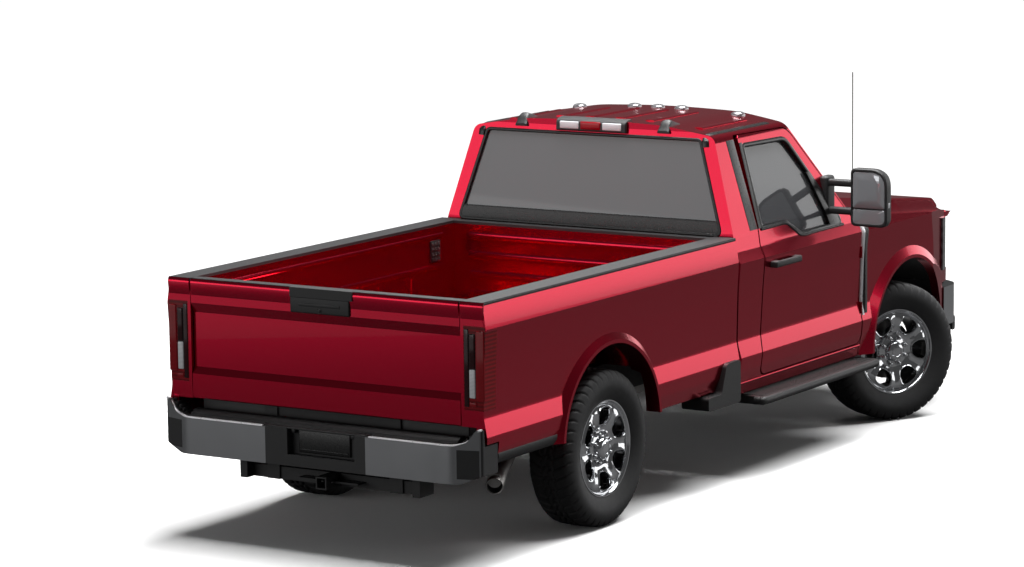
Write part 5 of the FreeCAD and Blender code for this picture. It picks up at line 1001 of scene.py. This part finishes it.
def build_seat(settings):
    """Bench seat of three padded places with backs, two head rests on posts, and a moulded foot."""
    Piece("seat_foot", "plastic").box((0.19, -0.635, 0.762), (0.67, 0.635, 0.945), 0.02, 5).make("seat")
    lean = np.array([-0.09, 0.0, 0.66])
    lean = lean / np.linalg.norm(lean)
    facing = np.array([lean[2], 0.0, -lean[0]])
    for name, low, high in (("left", 0.238, 0.686), ("middle", -0.226, 0.226), ("right", -0.686, -0.238)):
        base = Piece("seat_cushion_" + name, "cloth")
        base.grid(cushion((0.13, low, 0.938), (0.712, high, 1.086), settings))
        base.make()
        back = Piece("seat_back_" + name, "cloth")
        flat = cushion((-0.33, low, -0.062), (0.33, high, 0.062), settings)
        back.grid(flat @ np.array([lean, [0, 1, 0], facing]) + [0.104, 0, 1.292])
        back.make()
    for name, side in SIDES:
        rest = Piece("head_rest_" + name, "cloth")
        rest.grid(cushion((-0.012, 0.275, 1.632), (0.082, 0.525, 1.768), settings, 0.5) * [1, side, 1])
        rest.make()
    posts = Piece("head_rest_posts", "chrome")
    for y in (0.345, 0.455):
        posts.grid(tube([(0.048, y, 1.56), (0.042, y, 1.6), (0.036, y, 1.66)], 0.006))
    posts.mirror().make()


def build_dashboard():
    """Hood, console, glove box, displays and vents on the dashboard, and the steering wheel's pad."""
    trim = Piece("dashboard_hood", "vinyl")
    trim.box((1.03, 0.25, 1.235), (1.2, 0.51, 1.325), 0.03, 6)
    trim.box((1.055, -0.19, 1.035), (1.15, 0.19, 1.3), 0.014, 4)
    trim.box((1.062, -0.62, 1.05), (1.15, -0.25, 1.19), 0.012, 4).make()
    display = Piece("dashboard_display", "trim")
    display.box((1.046, -0.125, 1.15), (1.07, 0.125, 1.29), 0.008, 4)
    display.box((1.026, 0.28, 1.25), (1.06, 0.48, 1.31), 0.006, 4).make()
    vents = Piece("dashboard_vents", "trim")
    for y in (-0.76, 0.6):
        for index in range(4):
            z = 1.15 + index * 0.022
            vents.box((1.052, y, z), (1.08, y + 0.15, z + 0.009), 0.003, 2)
    vents.make()
    pad = Piece("steering_pad", "vinyl")
    sine, cosine = math.sin(STEERING_LEAN), math.cos(STEERING_LEAN)
    flat = rounded_box((-0.075, -0.062, -0.02), (0.075, 0.062, 0.02), 0.018, 5)
    leaning = flat @ np.array([[sine, 0, cosine], [0, 1, 0], [-cosine, 0, sine]])
    pad.grid(leaning + [0.896, 0.38, 1.318]).make()


# ---- wheels

WHEELS = {"front_left": 1, "front_right": -1, "rear_left": 1, "rear_right": -1}
TYRE_RADIUS = 0.425
TREAD_HALF = 0.1
SPOKES, LUGS, LUG_CIRCLE = 6, 8, 0.085
# Round the tyre: middle and half width. Between its blocks: low, high, lean and shift. Across, 1 is the tread's edge.
GROOVES = ((-0.36, 0.045), (0.0, 0.05), (0.36, 0.045))
NOTCHES = ((-1.3, -0.36, 0.8, 0.0), (-0.36, 0.0, -1.2, 0.35), (0.0, 0.36, 1.2, 0.6), (0.36, 1.3, -0.8, 0.15))


def wheel_place(name):
    """The wheel's middle and its outward axis, from its spin joint."""
    joint = JOINTS["spin_" + name]
    axis = Vector(joint["axis"]).normalized()
    side = WHEELS[name]
    if axis.y * side < 0:
        axis = -axis
    return Vector(joint["pos_m"]), axis


def to_wheel(name):
    """A function that takes points about the Y axis to the wheel's real place."""
    origin, axis = wheel_place(name)
    turn = np.array(Vector((0, 1, 0)).rotation_difference(axis).to_matrix())
    return lambda points: points @ turn.T + np.array(origin)


def tread_depth(turn, across, settings):
    """How far the tread is cut away: three zigzag grooves round the tyre, and slanted notches between its blocks."""
    blocks = settings.tread_blocks
    sway = 0.05 * np.sin(turn * blocks)
    depth = np.zeros(np.broadcast(turn, across).shape)
    for middle, half in GROOVES:
        depth = np.maximum(depth, 1 - smooth_step(half, half + 0.035, np.abs(across - middle - sway)))
    for low, high, lean, shift in NOTCHES:
        phase = turn * blocks / (2 * math.pi) + lean * across + shift
        near = np.abs(phase - np.round(phase))
        inside = (across > low) & (across < high)
        depth = np.maximum(depth, 0.85 * (1 - smooth_step(0.07, 0.14, near)) * inside)
    return depth * settings.tread_cut


def tyre_grid(settings):
    """Radius and width run along a closed outline from bead to bead, turned about the axis; over the tread the radius
    falls with the cube of the way from the middle, and the tread's cuts are taken off it."""
    turn = circle(528)
    side = np.array([
        (0.2545, 0.088), (0.255, 0.0955), (0.261, 0.104), (0.27, 0.11), (0.285, 0.118), (0.305, 0.1265),
        (0.325, 0.133), (0.342, 0.136), (0.36, 0.1355), (0.378, 0.132), (0.393, 0.127), (0.404, 0.1205),
        (0.412, 0.114), (0.4175, 0.107),
    ])
    across = np.linspace(TREAD_HALF, -TREAD_HALF, 41)
    crown = np.stack([TYRE_RADIUS - 0.0042 * np.abs(across / TREAD_HALF) ** 3, across], axis=-1)
    outline = np.concatenate([side, crown, side[::-1] * [1, -1]])
    radius, along = outline[:, :1], outline[:, 1:]
    radius = radius - tread_depth(turn, along / TREAD_HALF, settings) * smooth_step(0.372, 0.4, radius)
    rows = xyz(radius * np.cos(turn), along, radius * np.sin(turn))
    return np.concatenate([rows, rows[:1]])


def rim_face():
    """Height of the wheel's face over its radius: low at the hub, up along the spokes, and down to the barrel."""
    return curve([(0.07, 0.072), (0.1, 0.071), (0.125, 0.08), (0.165, 0.096), (0.205, 0.102), (0.232, 0.098),
                  (0.242, 0.09)], 60)


def spoke_sector(face, steps=64):
    """One sixth of the wheel's face: rows run from inside the window's wall, over its rolled edge, to the sector's
    outline, and each column keeps its direction from the window's middle."""
    middle = 0.176
    turn = circle(steps)
    edge = np.stack([0.045 * np.sign(np.cos(turn)) * np.abs(np.cos(turn)) ** 0.72,
                     (0.053 + 0.013 * np.cos(turn)) * np.sign(np.sin(turn)) * np.abs(np.sin(turn)) ** 0.72], axis=-1)
    low, high, half_turn = 0.098, 0.242, math.pi / SPOKES
    ray = np.stack([np.cos(turn), np.sin(turn)], axis=-1)
    reach = np.full(steps, 1.0)
    sine, cosine = math.sin(half_turn), math.cos(half_turn)
    for side in (1, -1):
        across = ray @ np.array([-sine, side * cosine])
        gap = middle * sine
        reach = np.minimum(reach, np.where(across > 1e-6, gap / np.maximum(across, 1e-6), 1.0))
    along = middle * ray[:, 0]
    reach = np.minimum(reach, -along + np.sqrt(along ** 2 + high ** 2 - middle ** 2))
    inside = along ** 2 + low ** 2 - middle ** 2
    hit = -along - np.sqrt(np.maximum(inside, 0))
    reach = np.minimum(reach, np.where((inside > 0) & (hit > 0), hit, 1.0))
    outline = ray * reach[:, None]
    rows, sink = [], []
    for share, drop in ((0.0, 0.045), (0.0, 0.012), (0.02, 0.003), (0.07, -0.0045), (0.17, -0.0065), (0.3, -0.002),
                        (0.5, 0.0), (0.75, 0.0), (1.0, 0.0)):
        rows.append(edge * (1 - share) + outline * share + [middle, 0])
        sink.append(np.full(steps, drop))
    flat, sink = np.array(rows), np.array(sink)
    radius = np.linalg.norm(flat, axis=-1)
    height = np.interp(radius, face[:, 0], face[:, 1]) - sink
    angle = np.abs(np.arctan2(flat[..., 1], flat[..., 0]))
    crease = smooth_step(0.0, 0.1, half_turn - angle) * smooth_step(0.1, 0.13, radius)
    height = height - 0.006 * (1 - crease) * smooth_step(0.1, 0.15, radius)
    return xyz(flat[..., 0], height, flat[..., 1])


def turned(points, angle):
    """Points turned about the Y axis."""
    sine, cosine = math.sin(angle), math.cos(angle)
    return points @ np.array([[cosine, 0, sine], [0, 1, 0], [-sine, 0, cosine]])


def build_wheels(settings):
    """Treaded tyre, spoked rim with barrel, hub, cap and lug nuts, and brake disc, at each wheel's place."""
    tyre = tyre_grid(settings)
    sector = spoke_sector(rim_face())
    barrel = lathe([(0.24, 0.06), (0.24, 0.088), (0.2425, 0.0935), (0.247, 0.0955), (0.25, 0.103),
                    (0.256, 0.1085), (0.262, 0.1085), (0.264, 0.105), (0.2632, 0.1), (0.2545, 0.097),
                    (0.254, 0.088), (0.254, -0.088), (0.2545, -0.097), (0.2632, -0.1), (0.264, -0.108),
                    (0.256, -0.1105), (0.236, -0.106), (0.23, 0.05), (0.24, 0.06)], circle(96))
    hub = lathe([(0.062, 0.04), (0.092, 0.04), (0.1045, 0.052), (0.1045, 0.0705), (0.1, 0.0715),
                 (0.07, 0.072), (0.064, 0.076), (0.062, 0.076), (0.062, 0.04)], circle(96))
    cap = lathe([(0.0, 0.1135), (0.02, 0.113), (0.04, 0.111), (0.052, 0.107), (0.058, 0.1), (0.0605, 0.09),
                 (0.064, 0.08), (0.064, 0.07), (0.0, 0.07)], circle(64))
    ring = lathe([(0.03, 0.1118), (0.0315, 0.1136), (0.0345, 0.1133), (0.036, 0.1108), (0.03, 0.1118)], circle(64))
    nut = lathe([(0.0, 0.101), (0.006, 0.1008), (0.0098, 0.099), (0.0112, 0.096), (0.0112, 0.079),
                 (0.015, 0.0775), (0.015, 0.07), (0.0, 0.07)], circle(24))
    disc = lathe([(0.085, -0.002), (0.178, -0.002), (0.18, -0.006), (0.18, -0.03), (0.178, -0.034),
                  (0.085, -0.034), (0.085, -0.002)], circle(72))
    for name in WHEELS:
        placing = to_wheel(name)
        body = "wheel_" + name
        Piece("tyre_" + name + "_tread", "tyre", body, sharp=28).grid(tyre).moved(placing).make("tyre_" + name)
        bright = Piece("rim_" + name + "_face", "chrome", body, sharp=40)
        for index in range(SPOKES):
            bright.grid(turned(sector, index * 2 * math.pi / SPOKES))
        bright.grid(barrel).grid(hub).grid(cap).grid(ring)
        for index in range(LUGS):
            bright.grid(turned(nut + [LUG_CIRCLE, 0, 0], (index + 0.5) * 2 * math.pi / LUGS))
        bright.moved(placing).make("rim_" + name)
        Piece("brake_" + name, "bare", body, sharp=40).grid(disc).moved(placing).make()


# ---- stage


def build_stage(settings):
    """Floor, soft lights, world and camera."""
    reach = 240.0
    spread = np.linspace(-reach, reach, 9)
    rows = np.stack([*np.meshgrid(spread, spread, indexing="ij"), np.zeros((9, 9))], axis=-1)
    mesh = bpy.data.meshes.new("studio_floor")
    number = np.arange(81).reshape(9, 9)
    quads = np.stack([number[:-1, :-1], number[1:, :-1], number[1:, 1:], number[:-1, 1:]], axis=-1)
    mesh.from_pydata(rows.reshape(-1, 3).tolist(), [], quads.reshape(-1, 4).tolist())
    floor = bpy.data.objects.new("studio_floor", mesh)
    bpy.context.scene.collection.objects.link(floor)
    floor.data.materials.append(FINISHES["floor"].material)

    world = bpy.data.worlds.new("studio")
    bpy.context.scene.world = world
    world.use_nodes = True
    tree = world.node_tree
    tree.nodes.clear()
    output = tree.nodes.new("ShaderNodeOutputWorld")
    seen = tree.nodes.new("ShaderNodeLightPath")
    white, soft = (tree.nodes.new("ShaderNodeBackground") for _ in range(2))
    white.inputs[0].default_value = (1, 1, 1, 1)
    soft.inputs[0].default_value = (*settings.sky, 1)
    soft.inputs[1].default_value = settings.sky_strength
    choose = tree.nodes.new("ShaderNodeMixShader")
    for source, target in ((seen.outputs["Is Camera Ray"], choose.inputs[0]), (soft.outputs[0], choose.inputs[1]),
                           (white.outputs[0], choose.inputs[2]), (choose.outputs[0], output.inputs[0])):
        tree.links.new(source, target)

    sun = bpy.data.lights.new("sky_sun", "SUN")
    sun.energy = settings.sun
    sun.angle = settings.sun_angle
    lights = [(sun, settings.sun_from, (0.0, 0.0, 0.0))]
    for name, spot, target, extent, power in (
            ("overhead", (0.0, 0.0, 6.5), (0.0, 0.0, 1.0), (7.0, 4.0), settings.overhead),
            ("horizon", (15.0, -10.0, 3.0), (0.0, 0.0, 1.4), (26.0, 5.2), settings.side_light),
            ("rear", (-8.5, 3.8, 1.1), (-2.8, 0.0, 1.0), (7.0, 2.2), settings.rear_light),
            ("rear_horizon", (-16.0, 9.0, 4.2), (-2.8, 0.0, 1.0), (16.0, 4.4), settings.back_light)):
        panel = bpy.data.lights.new(name, "AREA")
        panel.shape = "RECTANGLE"
        panel.size, panel.size_y = extent
        panel.energy = power
        lights.append((panel, spot, target))
    for light, spot, target in lights:
        lamp = bpy.data.objects.new(light.name, light)
        lamp.location = spot
        lamp.rotation_euler = (Vector(target) - Vector(spot)).to_track_quat("-Z", "Y").to_euler()
        lamp.visible_camera = False
        bpy.context.scene.collection.objects.link(lamp)

    camera = bpy.data.cameras.new("photo_camera")
    camera.sensor_width = 36.0
    camera.lens = settings.lens
    camera.clip_end = 1000.0
    yaw, pitch, roll = settings.camera_yaw, settings.camera_pitch, settings.camera_roll
    ahead = Vector((math.cos(pitch) * math.cos(yaw), math.cos(pitch) * math.sin(yaw), math.sin(pitch)))
    right = ahead.cross(Vector((0, 0, 1))).normalized()
    above = right.cross(ahead)
    side = math.cos(roll) * right + math.sin(roll) * above
    up = math.cos(roll) * above - math.sin(roll) * right
    holder = bpy.data.objects.new("photo_camera", camera)
    holder.matrix_world = Matrix.Translation(settings.camera_spot) @ Matrix((side, up, -ahead)).transposed().to_4x4()
    bpy.context.scene.collection.objects.link(holder)
    bpy.context.scene.camera = holder
    bpy.context.scene.view_settings.view_transform = "Standard"


# ---- add-on


class PickupSettings(bpy.types.PropertyGroup):
    """What the looks of the truck are made from."""

    paint: FloatVectorProperty(name="Paint", description="Body colour", subtype="COLOR", size=3,
                               default=(0.56, 0.006, 0.034))
    flake_scale: FloatProperty(name="Flake", description="Metal flakes per metre", default=1500.0)
    front_tint: FloatProperty(name="Front tint", description="How opaque windscreen and door glass are",
                              default=0.7)
    rear_tint: FloatProperty(name="Rear tint", description="How opaque the rear window is", default=0.9)
    tint: FloatVectorProperty(name="Glass tint", description="Window colour", subtype="COLOR", size=3,
                              default=(0.06, 0.062, 0.066))
    tread_blocks: IntProperty(name="Tread blocks", description="Blocks round a tyre", default=44)
    tread_cut: FloatProperty(name="Tread depth", description="Depth of the tread's grooves", unit="LENGTH",
                             default=0.009)
    bumper_centre: FloatProperty(name="Bumper's centre", description="Half width of its black middle",
                                 unit="LENGTH", default=0.316)
    cushion_crown: FloatProperty(name="Crown", description="How far cushions pull in at their corners",
                                 default=0.1)
    cushion_channels: IntProperty(name="Channels", description="Sewn channels across a cushion", default=6)
    cushion_groove: FloatProperty(name="Groove", description="Depth of a sewn channel", unit="LENGTH",
                                  default=0.006)
    floor_bounce: FloatProperty(name="Floor bounce", description="How light the floor is in reflections",
                                default=0.04)
    sky: FloatVectorProperty(name="Sky", description="Colour of the soft light from all sides", subtype="COLOR",
                             size=3, default=(1.0, 1.0, 1.0))
    sky_strength: FloatProperty(name="Sky strength", description="Soft light from all sides", default=0.075)
    sun: FloatProperty(name="Sun", description="Strength of the even light on the floor", default=3.7)
    sun_angle: FloatProperty(name="Sun's width", description="How wide the even light is, which softens shadows",
                             subtype="ANGLE", default=math.radians(35))
    sun_from: FloatVectorProperty(name="Sun's place", description="Where the even light comes from", size=3,
                                  subtype="XYZ", default=(4.0, -2.0, 9.0))
    overhead: FloatProperty(name="Overhead", description="Power of the light above", unit="POWER", default=1100.0)
    side_light: FloatProperty(name="Side", description="Power of the light to the right", unit="POWER",
                              default=760.0)
    rear_light: FloatProperty(name="Rear", description="Power of the light behind", unit="POWER", default=26.0)
    back_light: FloatProperty(name="Back", description="Power of the light far behind", unit="POWER",
                              default=420.0)
    lens: FloatProperty(name="Lens", description="Focal length on a 36 mm sensor", default=129.58)
    camera_spot: FloatVectorProperty(name="Camera", description="Where the camera stands", subtype="XYZ",
                                     unit="LENGTH", size=3, default=(-18.242, -10.864, 4.251))
    camera_yaw: FloatProperty(name="Yaw", description="Camera's direction from +X towards +Y", subtype="ANGLE",
                              default=math.radians(32.23))
    camera_pitch: FloatProperty(name="Pitch", description="Camera's rise above level", subtype="ANGLE",
                                default=math.radians(-8.61))
    camera_roll: FloatProperty(name="Roll", description="Camera's turn about its own axis", subtype="ANGLE",
                               default=math.radians(-0.71))


class PICKUP_OT_finishes(bpy.types.Operator):
    """Makes the materials and gives each solid part its own"""

    bl_idname = "pickup.finishes"
    bl_label = "Finishes"

    def execute(self, context):
        FINISHES.update(make_finishes(context.scene.pickup))
        dress_nodes()
        return {"FINISHED"}


class PICKUP_OT_wheels(bpy.types.Operator):
    """Builds treaded tyres, bright rims and brake discs"""

    bl_idname = "pickup.wheels"
    bl_label = "Wheels"

    def execute(self, context):
        build_wheels(context.scene.pickup)
        return {"FINISHED"}


class PICKUP_OT_lamps(bpy.types.Operator):
    """Adds lenses to the lamps"""

    bl_idname = "pickup.lamps"
    bl_label = "Lamps"

    def execute(self, context):
        build_lamps()
        return {"FINISHED"}


class PICKUP_OT_ends(bpy.types.Operator):
    """Builds the tailgate's handle and the trim of both bumpers and the grille"""

    bl_idname = "pickup.ends"
    bl_label = "Front and rear"

    def execute(self, context):
        build_tailgate()
        build_bumpers()
        build_grille()
        return {"FINISHED"}


class PICKUP_OT_bed(bpy.types.Operator):
    """Adds beads, tie-downs and edges to the load bed"""

    bl_idname = "pickup.bed"
    bl_label = "Bed"

    def execute(self, context):
        build_bed()
        return {"FINISHED"}


class PICKUP_OT_cab(bpy.types.Operator):
    """Adds seals, strips, windscreen trim, engine bay, doors' parts, floor and side trim"""

    bl_idname = "pickup.cab"
    bl_label = "Cab"

    def execute(self, context):
        build_cab_trim(context.scene.pickup)
        build_windscreen()
        build_engine_bay(context.scene.pickup)
        build_doors()
        build_door_cards()
        build_floor_pan()
        build_gap_seals()
        build_side_trim()
        return {"FINISHED"}


class PICKUP_OT_interior(bpy.types.Operator):
    """Builds the padded seat and the dashboard's details"""

    bl_idname = "pickup.interior"
    bl_label = "Interior"

    def execute(self, context):
        build_seat(context.scene.pickup)
        build_dashboard()
        return {"FINISHED"}


class PICKUP_OT_stage(bpy.types.Operator):
    """Sets floor, lights, world and camera"""

    bl_idname = "pickup.stage"
    bl_label = "Stage"

    def execute(self, context):
        build_stage(context.scene.pickup)
        return {"FINISHED"}


STEPS = (PICKUP_OT_finishes, PICKUP_OT_wheels, PICKUP_OT_lamps, PICKUP_OT_ends, PICKUP_OT_bed, PICKUP_OT_cab,
         PICKUP_OT_interior, PICKUP_OT_stage)


class PICKUP_PT_panel(bpy.types.Panel):
    """Settings and steps in the 3D view's sidebar"""

    bl_idname = "PICKUP_PT_panel"
    bl_label = "Pickup truck"
    bl_space_type = "VIEW_3D"
    bl_region_type = "UI"
    bl_category = "Pickup"

    def draw(self, context):
        for name in PickupSettings.__annotations__:
            self.layout.prop(context.scene.pickup, name)
        for step in STEPS:
            self.layout.operator(step.bl_idname)


CLASSES = (PickupSettings, *STEPS, PICKUP_PT_panel)


def register():
    for item in CLASSES:
        bpy.utils.register_class(item)
    bpy.types.Scene.pickup = PointerProperty(type=PickupSettings)


def unregister():
    del bpy.types.Scene.pickup
    for item in reversed(CLASSES):
        bpy.utils.unregister_class(item)


def main():
    register()
    for step in STEPS:
        space, name = step.bl_idname.split(".")
        getattr(getattr(bpy.ops, space), name)()


if __name__ == "__main__":
    main()
